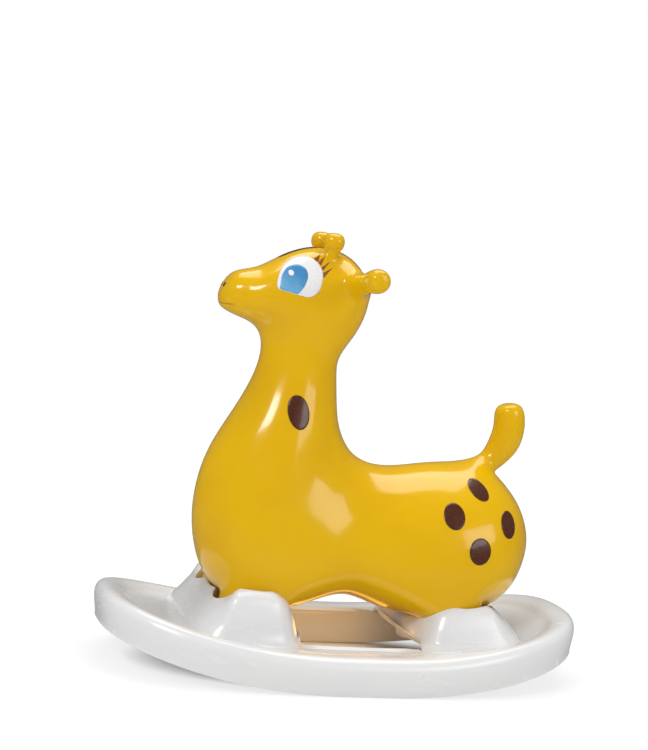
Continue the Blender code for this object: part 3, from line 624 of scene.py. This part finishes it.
def end_cap(ring, first, outward, start):
    """Points and faces that close a half ring: a middle pushed outwards, and a ring halfway to it."""
    middle = (ring[0] + ring[8]) / 2 + outward
    halfway = (ring[[0, 8, 2, 4, 6]] + middle) / 2 + outward * SWELL_SHARE
    points = np.concatenate([[middle], halfway])
    centre, upper, lower, side_upper, side, side_lower = range(start, start + 6)
    at = [first + place for place in range(9)]
    faces = [
        (at[0], at[1], side_upper, upper), (at[1], at[2], at[3], side_upper),
        (upper, side_upper, side, centre), (side_upper, at[3], at[4], side),
        (centre, side, side_lower, lower), (side, at[4], at[5], side_lower),
        (lower, side_lower, at[7], at[8]), (side_lower, at[5], at[6], at[7]),
    ]
    return points, faces


def limb_rings(path, root_points, root, on_middle, corners):
    """Rings of a limb, a round of the path's radius carried along its centres.

    Each ring's points keep the order of the root's, but are spread evenly round the path.
    """
    centres, radii = path[:, :3], path[:, 3]
    ends = np.concatenate([centres[:1], centres, centres[-1:]])
    along = ends[2:] - ends[:-2]
    along /= np.linalg.norm(along, axis=1, keepdims=True)
    count = len(root_points)
    rings, ring = [], root_points
    for step in range(len(path)):
        way = Vector(along[step])
        aside = Vector((1, 0, 0)) if on_middle else way.orthogonal().normalized()
        ahead = np.array(aside.cross(way))
        aside = np.array(aside)
        spokes = ring - root
        turns = np.arctan2(spokes @ aside, spokes @ ahead)
        order = np.argsort(np.abs(turns) if on_middle else turns)
        if on_middle:
            turns[order] = np.linspace(0, math.pi, count)
        else:
            even = np.arange(count) * 2 * math.pi / count
            turns[order] = even + np.mean(turns[order] - even)
        round_points = np.cos(turns)[:, None] * ahead + np.sin(turns)[:, None] * aside
        ring = centres[step] + round_points * radii[step] * swell(corners)
        if on_middle:
            ring[np.abs(np.sin(turns)) < 1e-6, 0] = 0
        root = centres[step]
        rings.append(ring)
    return np.array(rings)


def limb(grid, points, path, start, root, span):
    """New points and faces of a limb that leaves the trunk at a block of span by span faces."""
    first, place = root
    if span == 2:
        way = [(0, 0), (1, 0), (2, 0), (2, 1), (2, 2), (1, 2), (0, 2), (0, 1)]
    elif place == 0:
        way = [(0, 0), (0, 1), (1, 1), (1, 0)]
    else:
        way = [(0, 0), (1, 0), (1, 1), (0, 1)]
    base = np.array([grid[first + down, place + across] for down, across in way])
    block = grid[first:first + span + 1, place:place + span + 1]
    corners_of = np.stack([block[:-1, :-1], block[1:, :-1], block[1:, 1:], block[:-1, 1:]], axis=-1)
    middle = points[corners_of].mean(axis=2).reshape(-1, 3).mean(axis=0)
    on_middle = path[0, 0] == 0
    if on_middle:
        middle[0] = 0
    count = 6 if on_middle else len(base)
    rings = limb_rings(path, points[base], middle, on_middle, count)
    index = np.concatenate([base[None], start + np.arange(rings.shape[0] * len(base)).reshape(-1, len(base))])
    sides = grid_faces(len(index), len(base), closed=not on_middle)
    faces = index.reshape(-1)[sides].tolist()
    tip = index[-1].tolist()
    new_points = rings.reshape(-1, 3)
    if span == 2:
        centre = start + len(new_points)
        new_points = np.concatenate([new_points, path[-1:, :3]])
        faces += [(tip[7], tip[0], tip[1], centre), (tip[1], tip[2], tip[3], centre),
                  (tip[3], tip[4], tip[5], centre), (tip[5], tip[6], tip[7], centre)]
    else:
        faces.append(tip)
    return new_points, faces


def skin_cage(name, limbs):
    """The left half of the giraffe as a coarse cage, which a mirror and subdivision make round."""
    rings = trunk_points()
    points = rings.reshape(-1, 3)
    grid = np.arange(len(points)).reshape(rings.shape[:2])
    kept = np.ones((len(rings) - 1, RING_POINTS // 2), dtype=bool)
    for _, (first, place), span in limbs:
        kept[first:first + span, place:place + span] = False
    faces = grid_faces(*grid.shape, closed=False)[kept.reshape(-1)].tolist()
    everything = [points]
    count = len(points)
    for ring, outward in ((0, RUMP_SWELL), (len(rings) - 1, MUZZLE_SWELL)):
        made, more = end_cap(rings[ring], grid[ring, 0], np.array(outward), count)
        everything.append(made)
        faces += more
        count += len(made)
    for path, root, span in limbs:
        made, more = limb(grid, points, path, count, root, span)
        everything.append(made)
        faces += more
        count += len(made)
    cage = new_piece(name, np.concatenate(everything), faces)
    mirror = cage.modifiers.new("Mirror", "MIRROR")
    mirror.merge_threshold = 0.0001
    mirror.use_clip = True
    return cage


def turned(name, profile, sides, y):
    """A profile of (radius, height) carried round the valve's axis, which runs along Y."""
    profile = np.asarray(profile)
    turn = np.arange(sides) * 2 * math.pi / sides
    radius, height = profile[:, :1], profile[:, 1:] + 0 * turn
    points = np.stack([radius * np.cos(turn), y + height, VALVE_Z + radius * np.sin(turn)], axis=-1)
    return new_piece(name, points, grid_faces(len(profile), sides))


# Prints


def disc(outline, rows):
    """Points and faces of a flat shape: its outline drawn in towards its middle in equal steps."""
    middle = outline.mean(axis=0)
    share = np.linspace(1, 0, rows)[:, None, None]
    points = middle + (outline - middle) * share
    return points, grid_faces(rows, len(outline))


def lash_shape(lash, columns=14, rows=5):
    """A lash as rows across it, from its root to its tip.

    Its sides are bowed in by a sine along it, and its root is rounded by a sine across it.
    """
    tip, first, last = lash
    along = np.linspace(0, 1, columns)[:, None, None]
    across = np.linspace(0, 1, rows)[None, :, None]
    root = first + (last - first) * across
    bow = LASH_BOW * np.sin(math.pi * along) * (0.5 - across) * (last - first)
    foot = -LASH_BOW * np.sin(math.pi * across) * (tip - (first + last) / 2) * (1 - along)
    points = root + (tip - root) * along ** LASH_TAPER + bow + foot
    return points, grid_faces(columns, rows, closed=False)


def film(name, flat, faces, axis, side, lift_off, skin):
    """Ink on the skin: a flat shape thrown at the skin along one axis, and given a small thickness."""
    first, second = flat.reshape(-1, 2).T
    far = np.full(len(first), THROW_FROM * side)
    columns = {"X": (far, first, second), "Y": (first, far, second), "Z": (first, second, far + HEAD_ROOM)}
    piece = new_piece(name, np.stack(columns[axis], axis=1), faces)
    throw = piece.modifiers.new("Throw", "SHRINKWRAP")
    throw.target = skin
    throw.wrap_method = "PROJECT"
    throw.wrap_mode = "ABOVE_SURFACE"
    throw.use_project_x, throw.use_project_y, throw.use_project_z = (axis == word for word in "XYZ")
    throw.use_positive_direction = side < 0
    throw.use_negative_direction = side > 0
    throw.offset = lift_off
    settle(piece)
    if piece.data.polygon_normals[0].vector["XYZ".index(axis)] * side < 0:
        piece.data.flip_normals()
    thicken(piece, PRINT_THICKNESS, 1)
    settle(piece)
    piece.data.shade_smooth()
    return piece


# The rocking base


def base_ring():
    """The rim, the deck and both skirts: the section carried round between the two outlines.

    At each place the section's insets run from the outer oblong towards the hole's, and its heights stand
    on the arc that the base rocks on. The deck sinks by the recess towards the two ends.
    """
    outer = even_oblong(BASE_HALF_WIDTH, BASE_HALF_LENGTH, BASE_SQUARENESS, BASE_COLUMNS)
    inner = even_oblong(HOLE_HALF_WIDTH, HOLE_HALF_LENGTH, HOLE_SQUARENESS, BASE_COLUMNS)
    width = np.linalg.norm(inner - outer, axis=1)
    towards = (inner - outer) / width[:, None]
    share = smooth_step(np.abs(inner[:, 1]) / HOLE_HALF_LENGTH, *RECESS_RUN)
    recess = SIDE_RECESS + (RECESS_DEPTH - SIDE_RECESS) * share
    deck = RIM_HEIGHT - recess
    rim_width = RIM_SECTION[-1, 0]
    across = np.array([0.30, 0.60, 0.85])[:, None]
    edge = HOLE_EDGE * np.array([(1, 0), (0.3, -0.3), (0, -1)])[:, :, None]
    down = np.array([0.70, 0.35, 0.0])[:, None]
    inset = np.concatenate([RIM_SECTION[:, :1] + 0 * width, rim_width + (width - rim_width) * across,
                            width - edge[:, 0], width + 0 * down])
    height = np.concatenate([RIM_SECTION[:, 1:2] - RIM_SECTION[:, 2:] * recess, deck + 0 * across,
                             deck + edge[:, 1], down * deck])
    place = outer + towards * inset[:, :, None]
    points = np.concatenate([place, (height + lift(place[:, :, 1]))[:, :, None]], axis=2)
    points = smooth_rows(points, 2)
    ring = new_piece("base_ring", points, grid_faces(len(points), BASE_COLUMNS))
    face_up(ring)
    thicken(ring, BASE_WALL, -1)
    return settle(ring)


def cradle_table(trunk):
    """Heights under the body over a grid in plan, blurred a little, for the humps to stay below."""
    bpy.context.view_layer.update()
    surface = BVHTree.FromObject(trunk, bpy.context.evaluated_depsgraph_get())
    x = np.arange(0, 0.1501, CRADLE_STEP)
    y = np.arange(-0.246, 0.2641, CRADLE_STEP)
    heights = np.empty((len(y), len(x)))
    up = Vector((0, 0, 1))
    for row, along in enumerate(y):
        hits = [surface.ray_cast(Vector((aside, along, 0)), up)[0] for aside in x]
        heights[row] = [min(hit.z, CRADLE_TOP) if hit else CRADLE_TOP for hit in hits]
    for _ in range(2):
        padded = np.pad(heights, 1, mode="edge")
        heights = np.minimum(heights, (padded[:-2, 1:-1] + padded[2:, 1:-1] + padded[1:-1, :-2]
                                       + padded[1:-1, 2:] + 4 * padded[1:-1, 1:-1]) / 8)
    return x, y, heights - CRADLE_GAP


def cradle_at(table, x, y):
    """The table's height at some places: straight between its four nearest entries, mirrored in x."""
    across, along, heights = table
    column = np.clip(np.abs(x) / CRADLE_STEP, 0, len(across) - 1.001)
    row = np.clip((y - along[0]) / CRADLE_STEP, 0, len(along) - 1.001)
    left, low = column.astype(int), row.astype(int)
    right_share, high_share = column - left, row - low
    lower = heights[low, left] * (1 - right_share) + heights[low, left + 1] * right_share
    upper = heights[low + 1, left] * (1 - right_share) + heights[low + 1, left + 1] * right_share
    return lower * (1 - high_share) + upper * high_share


def wall_height(inset):
    """Height of a hump's wall some way in from its foot: a blurred run through the steps."""
    fine = np.linspace(-0.01, 0.09, 401)
    rough = np.interp(fine, *HUMP_WALL.T)
    slope = (HUMP_WALL[1, 1] - HUMP_WALL[0, 1]) / HUMP_WALL[1, 0]
    rough = rough + slope * np.minimum(fine, 0)
    kernel = np.hanning(WALL_BLUR)
    soft = np.convolve(np.pad(rough, WALL_BLUR // 2, mode="edge"), kernel / kernel.sum(), mode="valid")
    return np.interp(inset, fine, soft)


def dome_height(hump, inset, along):
    """Height of a hump at some insets, by how far along it they lie: -1 at the hole, 1 at its outer end."""
    hole, end = smooth_step(-along, *HOLE_LEAN_RUN), smooth_step(along, *END_LEAN_RUN)
    lean = hump.side_lean + (1 - hump.side_lean) * hole + (hump.end_lean - hump.side_lean) * end
    fall = 1 - CREST_FALL * smooth_step(along, *CREST_FALL_RUN)
    return HUMP_WALL[0, 1] + (wall_height(inset / lean) - HUMP_WALL[0, 1]) * hump.rise * fall


def hump_height(x, y, hump, table):
    """Height of a hump's top at some places, from the inset at which its outline passes through them."""
    centre, half_length = hump[:2]
    low, high = np.zeros_like(x), np.full_like(x, half_length - 1e-6)
    for _ in range(24):
        middle = (low + high) / 2
        beyond = (np.abs(x / (HUMP_HALF_WIDTH - middle)) ** HUMP_SQUARENESS
                  + np.abs((y - centre) / (half_length - middle)) ** HUMP_SQUARENESS) > 1
        low, high = np.where(beyond, low, middle), np.where(beyond, middle, high)
    along = (y - centre) * np.sign(centre) / (half_length - low)
    dome = dome_height(hump, low, along) + lift(y)
    return softer_least(dome, cradle_at(table, x, y), CREST_REACH)


def hump_shell(name, hump, table, path):
    """A hump: its foot's outline drawn in and up the wall to a ridge, and pressed down by the body.

    Over the deck the foot flares out into a fillet, and over the hole it ends in an arched edge that is
    rolled inwards. Each row's place is an oblong, and its height is the wall's less the body's press.
    Faces inside the two bores are left out, and the points round these are moved out to the bores' edges.
    """
    centre, half_length = hump[:2]
    turns = np.linspace(0, 2 * math.pi, 24001)[:-1]
    fine = oblong(turns, HUMP_HALF_WIDTH, half_length, HUMP_SQUARENESS)
    step = np.linalg.norm(np.diff(fine, axis=0, append=fine[:1]), axis=1)
    run = np.concatenate([[0], np.cumsum(step)])
    turn = np.interp(np.arange(HUMP_COLUMNS) * run[-1] / HUMP_COLUMNS, run, np.append(turns, 2 * math.pi))
    foot = oblong(turn, HUMP_HALF_WIDTH, half_length, HUMP_SQUARENESS)
    hole_side = -np.sign(centre) * foot[:, 1] > 0
    over = smooth_step(HOLE_HALF_WIDTH - np.abs(foot[:, 0]), *FOOT_RUN) * hole_side
    deeper = smooth_step(np.abs(foot[:, 1] + centre), *FOOT_RECESS_RUN)
    deck = RIM_HEIGHT - SIDE_RECESS - (RECESS_DEPTH - SIDE_RECESS) * deeper
    insets, heights = [], []
    for on_deck, rise, on_hole, rise_there in HUMP_FEET:
        insets.append(on_deck + (on_hole - on_deck) * over)
        heights.append((deck + rise) * (1 - over) + (HUMP_ARCH + rise_there) * over)
    walls = np.concatenate([np.linspace(*WALL_ROWS), np.linspace(TOP_ROWS[0], half_length, TOP_ROWS[1])])
    outward = foot[:, 1] * np.sign(centre) / half_length
    insets = np.array(insets + [np.full(HUMP_COLUMNS, inset) for inset in walls])
    heights = np.array(heights + [dome_height(hump, inset, outward) for inset in walls])
    place = oblong(turn, HUMP_HALF_WIDTH - insets, half_length - insets, HUMP_SQUARENESS)
    place[:, :, 1] += centre
    bore_x, bore_y, _, leg_radius = path[0]
    reach = leg_radius + SOCKET_PLAY + SOCKET_WALL / 2
    spoke = np.stack([np.abs(place[:, :, 0]) - bore_x, place[:, :, 1] - bore_y], axis=2)
    length = np.linalg.norm(spoke, axis=2)
    foot_rows = np.arange(len(insets))[:, None] < len(HUMP_FEET)
    inside = (length < reach) & ~foot_rows
    spoke *= (reach / np.maximum(length, 0.001))[:, :, None]
    side = np.where(place[:, :, 0] < 0, -1, 1)
    moved = np.stack([side * (bore_x + spoke[:, :, 0]), bore_y + spoke[:, :, 1]], axis=2)
    place = np.where(inside[:, :, None], moved, place)
    x, y = place[:, :, 0], place[:, :, 1]
    height = softer_least(heights + lift(y), cradle_at(table, x, y), CREST_REACH)
    height = np.where(inside, hump_height(x, y, hump, table), height)
    height = np.where(foot_rows, heights + lift(y), height)
    faces = grid_faces(len(insets), HUMP_COLUMNS)
    faces = faces[~inside.reshape(-1)[faces].all(axis=1)]
    points = np.concatenate([place, height[:, :, None]], axis=2)
    shell = new_piece(name, points, faces)
    face_up(shell)
    thicken(shell, BASE_WALL * 0.8, -1)
    return settle(shell)


def socket_cup(name, path, side, hump, table, sides=96):
    """A cup round a leg: up its inner wall, over a rounded lip that follows the hump, and down outside.

    The radius at a height is the leg's there plus the play, and the lip's height is the hump's at that
    place, so that the cup closes the hole in the hump.
    """
    turn = np.arange(sides) * 2 * math.pi / sides
    middle_x = side * path[0, 0]
    _, middles_y, levels, radii = path[2::-1].T

    def at(height, room):
        """The ring's x and y at some heights, with some room outside the cup's inner wall."""
        middle_y = np.interp(height, levels, middles_y)
        radius = np.interp(height, levels, radii) + SOCKET_PLAY + room
        return middle_x + side * radius * np.cos(turn), middle_y + radius * np.sin(turn)

    rim = hump_height(*at(levels[-1], 0.0015), hump, table)
    floor = np.full(sides, SOCKET_FLOOR)
    floor_y = np.interp(SOCKET_FLOOR, levels, middles_y)
    x, y = at(floor, 0.0)
    rows = [(middle_x + (x - middle_x) * share, floor_y + (y - floor_y) * share, floor + rise)
            for share, rise in ((0.0, 0.0), (0.55, 0.0), (0.93, 0.0), (0.985, 0.0008))]
    steps = [(0.0, floor + (rim - floor) * share) for share in (0.10, 0.3, 0.5, 0.7, 0.85)]
    steps += [(room, rim - drop) for room, drop in (
        (0.0, 0.0022), (0.0006, 0.0009), (0.0020, 0.0002), (0.0034, 0.0009), (0.0040, 0.0024),
        (SOCKET_WALL, 0.0060))]
    under = floor - SOCKET_WALL
    rows += [(*at(height, room), height) for room, height in steps]
    rows += [(*at(floor, SOCKET_WALL), under), (0 * x + middle_x, 0 * y + floor_y, under)]
    points = np.stack([np.stack(row, axis=-1) for row in rows])
    return new_piece(name, points, grid_faces(len(points), sides))


# Sizes and colours that a user would change


def colour_setting(name, description, default):
    """A colour that the user picks."""
    return FloatVectorProperty(
        name=name, description=description, subtype="COLOR", size=3, min=0, max=1, default=default)


def power_setting(name, description, default):
    """A lamp's power, in watts."""
    return FloatProperty(name=name, description=description, unit="POWER", min=0, default=default)


class GiraffeSkinSettings(bpy.types.PropertyGroup):
    colour: colour_setting("Colour", "Main colour of the soft vinyl", (0.785, 0.468, 0.0004))
    deep_colour: colour_setting(
        "Deep colour", "Colour of the vinyl where it is a little deeper", (0.745, 0.418, 0.0003))
    gloss: FloatProperty(
        name="Roughness", description="Least roughness of the vinyl", min=0.02, max=1, default=0.13)
    levels: IntProperty(
        name="Smoothness", description="Subdivision levels of the skin", min=1, max=4, default=3)


class GiraffePrintSettings(bpy.types.PropertyGroup):
    brown: colour_setting("Spots", "Colour of the spots and the patch", (0.088, 0.022, 0.0075))
    lash: colour_setting("Lashes", "Colour of the lashes", (0.30, 0.085, 0.008))
    iris_pale: colour_setting("Iris, pale", "Colour at the iris's lower edge", (0.16, 0.42, 0.68))
    iris_deep: colour_setting("Iris, deep", "Colour at the iris's top", (0.045, 0.24, 0.50))
    fineness: IntProperty(
        name="Points round", description="Points round each print's outline", min=16, max=256, default=96)


class GiraffeBaseSettings(bpy.types.PropertyGroup):
    colour: colour_setting("Colour", "Main colour of the pearl plastic", (0.80, 0.795, 0.79))
    second_colour: colour_setting(
        "Second colour", "Colour of the swirls in the pearl", (0.785, 0.78, 0.785))
    gloss: FloatProperty(
        name="Roughness", description="Least roughness of the plastic", min=0.02, max=1, default=0.24)


class GiraffeStageSettings(bpy.types.PropertyGroup):
    lens: FloatProperty(
        name="Lens", description="Focal length of the camera, in millimetres", min=10, max=300,
        default=85.466)
    key_power: power_setting("Key light", "Power of the main soft light", 30.0)
    fill_power: power_setting("Fill light", "Power of the second soft light", 12.0)
    top_power: power_setting("Top light", "Power of the soft light from above", 32.4)
    bounce_power: power_setting("Bounce", "Power of the belly's warm light in the hole", 0.035)
    surround: FloatProperty(
        name="Surround", description="Strength of the even light from all round", min=0, default=0.60)
    gloss_surround: FloatProperty(
        name="Surround in the gloss", description="Strength of the surround that glossy surfaces mirror",
        min=0, default=0.12)


SKIN = "giraffe_vinyl"


class GIRAFFE_OT_make_skin(bpy.types.Operator):
    """Make the soft body with its legs, ears, horns and tail, and the valve's seat in its rump"""

    bl_idname = "giraffe.make_skin"
    bl_label = "Make the soft body"

    def execute(self, context):
        settings = context.scene.giraffe_skin
        limbs = [(REAR_LEG, REAR_LEG_ROOT, 2), (FRONT_LEG, FRONT_LEG_ROOT, 2), (EAR, EAR_ROOT, 2),
                 (HORN, HORN_ROOT, 1), (TAIL, TAIL_ROOT, 1)]
        skin = skin_cage(SKIN, limbs)
        subdivide(skin, settings.levels)
        valve_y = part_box("air_plug")[1].y - 0.0001
        pocket = turned("valve_pocket", [
            (0, 0.01), (VALVE_SEAT_RADIUS, 0.01), (VALVE_SEAT_RADIUS, -VALVE_SEAT_DEPTH),
            (VALVE_HOLE, -VALVE_SEAT_DEPTH), (VALVE_HOLE, -VALVE_DEPTH), (0, -VALVE_DEPTH)], 64, valve_y)
        cut(skin, pocket)
        settle(skin)
        bpy.data.objects.remove(pocket)
        sharpen(skin, 50)
        finished(skin, "giraffe", "giraffe_skin", vinyl_finish(settings))
        return {"FINISHED"}


class GIRAFFE_OT_make_prints(bpy.types.Operator):
    """Make the eyes, the lashes, the nostrils, the spots and the patch on the head"""

    bl_idname = "giraffe.make_prints"
    bl_label = "Make the prints"

    def execute(self, context):
        settings = context.scene.giraffe_prints
        skin = bpy.data.objects[SKIN]
        count = settings.fineness
        brown = ink_finish("brown_spot_ink", settings.brown, [part * 0.8 for part in settings.brown])
        lash_ink = ink_finish("brown_lash_ink", settings.lash, [part * 0.75 for part in settings.lash])
        white = ink_finish("white_eye_ink", (0.84, 0.83, 0.83), (0.79, 0.78, 0.79))
        grey = ink_finish("grey_nostril_ink", (0.045, 0.050, 0.055), (0.030, 0.034, 0.040))
        blue = iris_finish(settings)
        for word, side in (("left", 1), ("right", -1)):
            jobs = [
                (f"eye_white_{word}", disc(closed_curve(EYE_WHITE, count), 14), 1, "white_print", white),
                (f"iris_{word}", disc(closed_curve(IRIS, count), 12), 2, "blue_print", blue),
                (f"eye_glint_{word}", disc(oval(*GLINT, count), 6), 3, "white_print", white),
                (f"neck_spot_{word}", disc(oval(*NECK_SPOT, count), 10), 1, "brown_print", brown),
            ]
            jobs += [(f"lash_{number}_{word}", lash_shape(lash), 0.5, "brown_print", lash_ink)
                     for number, lash in enumerate(LASHES, 1)]
            jobs += [(f"rump_spot_{number}_{word}", disc(oval(*spot, count), 10), 1, "brown_print", brown)
                     for number, spot in enumerate(RUMP_SPOTS, 1)]
            for node, (flat, faces), layer, slot, material in jobs:
                made = film(f"ink_{node}", flat, faces, "X", side, PRINT_LIFT * layer, skin)
                finished(made, "giraffe", node, material)
            flat, faces = disc(oval(*NOSTRIL, count), 5)
            nostril = film(f"ink_nostril_{word}", flat * (side, 1), faces, "Y", -1, PRINT_LIFT, skin)
            finished(nostril, "giraffe", f"nostril_{word}", grey)
        flat, faces = disc(closed_curve(CROWN_PATCH, 160), 8)
        patch = film("ink_crown_patch", flat, faces, "Z", 1, PRINT_LIFT, skin)
        finished(patch, "giraffe", "crown_patch", brown)
        return {"FINISHED"}


class GIRAFFE_OT_make_plug(bpy.types.Operator):
    """Make the air plug with its domed head and its ribbed stem"""

    bl_idname = "giraffe.make_plug"
    bl_label = "Make the air plug"

    def execute(self, context):
        low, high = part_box("air_plug")
        head, length = (high.x - low.x) / 2, high.y - low.y
        # (radius, place along the axis), from the head's middle over its edge to the stem's tip
        profile = [(0, 0.0), (head * 0.55, -0.00004), (head * 0.86, -0.0002), (head * 0.955, -0.0005),
                   (head, -0.0011), (head * 0.985, -0.0018), (head * 0.94, -0.0020), (0.0052, -0.0020),
                   (0.0046, -0.0026), (0.0046, -0.0050)]
        for rib in np.linspace(0.0055, length - 0.0035, 4):
            profile += [(0.0044, -rib), (0.00455, -rib - 0.0004), (0.0040, -rib - 0.0012)]
        profile += [(0.0035, -length + 0.0012), (0.0028, -length + 0.0003), (0, -length)]
        plug = turned("air_plug_piece", profile, 64, high.y)
        subdivide(plug, 1)
        settle(plug)
        sharpen(plug, 60)
        finished(plug, "plug", "air_plug", vinyl_finish(context.scene.giraffe_skin))
        return {"FINISHED"}


class GIRAFFE_OT_make_base(bpy.types.Operator):
    """Make the rocking base: its rim and deck, its two humps and the four leg sockets"""

    bl_idname = "giraffe.make_base"
    bl_label = "Make the rocking base"

    def execute(self, context):
        trunk = skin_cage("trunk_for_cradle", [])
        subdivide(trunk, 2)
        table = cradle_table(trunk)
        bpy.data.objects.remove(trunk)
        pieces = [base_ring()]
        for word, hump, path in (("front", FRONT_HUMP, FRONT_LEG), ("rear", REAR_HUMP, REAR_LEG)):
            pieces.append(hump_shell(word + "_hump", hump, table, path))
            pieces += [socket_cup(f"{word}_cup_{side}", path, side, hump, table) for side in (-1, 1)]
        base = join("rocker_shell", pieces)
        sharpen(base, 55)
        finished(base, "rocker", "rocker_base",
                 pearl_finish(context.scene.giraffe_base))
        return {"FINISHED"}


def soft_light(name, place, aim, size, power, colour=(1, 1, 1)):
    """A rectangular lamp that faces the point that it is aimed at."""
    data = bpy.data.lights.new(name, "AREA")
    data.shape = "RECTANGLE"
    data.size, data.size_y = size
    data.energy = power
    data.color = colour
    lamp = placed(name, data)
    lamp.location = place
    lamp.rotation_euler = (Vector(aim) - Vector(place)).to_track_quat("-Z", "Y").to_euler()


class GIRAFFE_OT_set_stage(bpy.types.Operator):
    """Set the pale floor, the white surround, the soft lights and the camera"""

    bl_idname = "giraffe.set_stage"
    bl_label = "Set the stage"

    def execute(self, context):
        settings = context.scene.giraffe_stage
        scene = context.scene
        scene.view_settings.view_transform = "Standard"
        self.set_floor()
        self.set_surround(scene, settings)
        soft_light("key_softbox", (1.9, -1.9, 2.3), LIGHT_AIM, (0.9, 0.7), settings.key_power)
        soft_light("fill_softbox", (2.3, 1.7, 1.5), LIGHT_AIM, (1.4, 1.0), settings.fill_power)
        soft_light("top_softbox", (-0.5, 0.2, 2.6), LIGHT_AIM, (2.0, 1.6), settings.top_power)
        for side in (-1, 1):
            soft_light(f"bounce_{side}", (0.01 * side, 0.003, 0.052), (HOLE_HALF_WIDTH * side, 0.003, 0.030),
                       (0.12, 0.04), settings.bounce_power, (1.0, 0.52, 0.10))
        data = bpy.data.cameras.new("photo_camera")
        data.lens = settings.lens
        data.sensor_width = 36.0
        camera = placed("photo_camera", data)
        turn = Matrix((CAMERA_RIGHT, CAMERA_UP, CAMERA_RIGHT.cross(CAMERA_UP))).transposed().to_4x4()
        camera.matrix_world = Matrix.Translation(CAMERA_PLACE) @ turn
        scene.camera = camera
        return {"FINISHED"}

    def set_floor(self):
        """A wide flat floor, near white, that the camera sees a share of as plain white, and glossy rays see
        painted near black.
        """
        corners = [(x * FLOOR_HALF, y * FLOOR_HALF, -FLOOR_DROP)
                   for x, y in ((-1, -1), (1, -1), (1, 1), (-1, 1))]
        floor = new_piece("floor", corners, [(0, 1, 2, 3)], tidy=False)
        made, tree, shader, place = new_finish("pale_floor")
        path = tree.nodes.new("ShaderNodeLightPath").outputs
        # Painted reflection: to glossy rays the floor is near black, so the gloss shows little of it.
        mirrored = summed(tree, "MULTIPLY", path["Is Glossy Ray"], 0.8)
        feed(tree, shader, {
            "Base Color": blended(tree, mirrored, (0.86, 0.86, 0.855), (0.02, 0.02, 0.02)),
            "Roughness": 0.75, "Specular IOR Level": 0.2})
        place = stretched(tree, place, (1.0, 0.55, 1.0))
        away = add_node(tree, "ShaderNodeVectorMath", {0: place}, operation="LENGTH").outputs["Value"]
        plain = summed(tree, "ADD", ranged(tree, away, *NEAR_PLAIN), ranged(tree, away, *FAR_PLAIN))
        share = summed(tree, "MULTIPLY", path["Is Camera Ray"], plain)
        glow = add_node(tree, "ShaderNodeEmission", {"Color": (1, 1, 1, 1), "Strength": 1.08})
        feed(tree, tree.nodes["Material Output"],
             {"Surface": mixed(tree, share, shader.outputs[0], glow.outputs[0])})
        floor.data.materials.append(made)

    def set_surround(self, scene, settings):
        """A white surround for the camera and clear parts, a dim one for gloss, and an even light."""
        scene.world = bpy.data.worlds.new("white_surround")
        scene.world.use_nodes = True
        tree = scene.world.node_tree
        even = tree.nodes["Background"]
        feed(tree, even, {"Color": (0.98, 0.99, 1.0, 1), "Strength": settings.surround})
        white = add_node(tree, "ShaderNodeBackground", {"Color": (1, 1, 1, 1), "Strength": 1.0})
        dim = add_node(tree, "ShaderNodeBackground",
                       {"Color": (0.9, 0.95, 1, 1), "Strength": settings.gloss_surround})
        path = tree.nodes.new("ShaderNodeLightPath").outputs
        seen = summed(tree, "MAXIMUM", path["Is Camera Ray"], path["Is Transmission Ray"])
        lit = mixed(tree, path["Is Glossy Ray"], even.outputs[0], dim.outputs[0])
        feed(tree, tree.nodes["World Output"], {"Surface": mixed(tree, seen, lit, white.outputs[0])})


class GIRAFFE_PT_panel(bpy.types.Panel):
    """Lists the steps and their settings"""

    bl_idname = "GIRAFFE_PT_panel"
    bl_label = "Inflatable giraffe"
    bl_space_type = "VIEW_3D"
    bl_region_type = "UI"
    bl_category = "Giraffe"

    def draw(self, context):
        scene = context.scene
        for operator, settings in STEPS:
            box = self.layout.box()
            box.operator(operator.bl_idname)
            group = getattr(scene, settings) if settings else None
            for name in (group.__annotations__ if group else ()):
                box.prop(group, name)


STEPS = (
    (GIRAFFE_OT_make_skin, "giraffe_skin"),
    (GIRAFFE_OT_make_prints, "giraffe_prints"),
    (GIRAFFE_OT_make_plug, None),
    (GIRAFFE_OT_make_base, "giraffe_base"),
    (GIRAFFE_OT_set_stage, "giraffe_stage"),
)
SETTINGS = {
    "giraffe_skin": GiraffeSkinSettings,
    "giraffe_prints": GiraffePrintSettings,
    "giraffe_base": GiraffeBaseSettings,
    "giraffe_stage": GiraffeStageSettings,
}
CLASSES = (*SETTINGS.values(), *(operator for operator, _ in STEPS), GIRAFFE_PT_panel)


def register():
    for made in CLASSES:
        bpy.utils.register_class(made)
    for name, made in SETTINGS.items():
        setattr(bpy.types.Scene, name, PointerProperty(type=made))


def unregister():
    for name in SETTINGS:
        delattr(bpy.types.Scene, name)
    for made in reversed(CLASSES):
        bpy.utils.unregister_class(made)


def main():
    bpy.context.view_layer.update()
    register()
    for step in (bpy.ops.giraffe.make_skin, bpy.ops.giraffe.make_prints, bpy.ops.giraffe.make_plug,
                 bpy.ops.giraffe.make_base, bpy.ops.giraffe.set_stage):
        step()


if __name__ == "__main__":
    main()
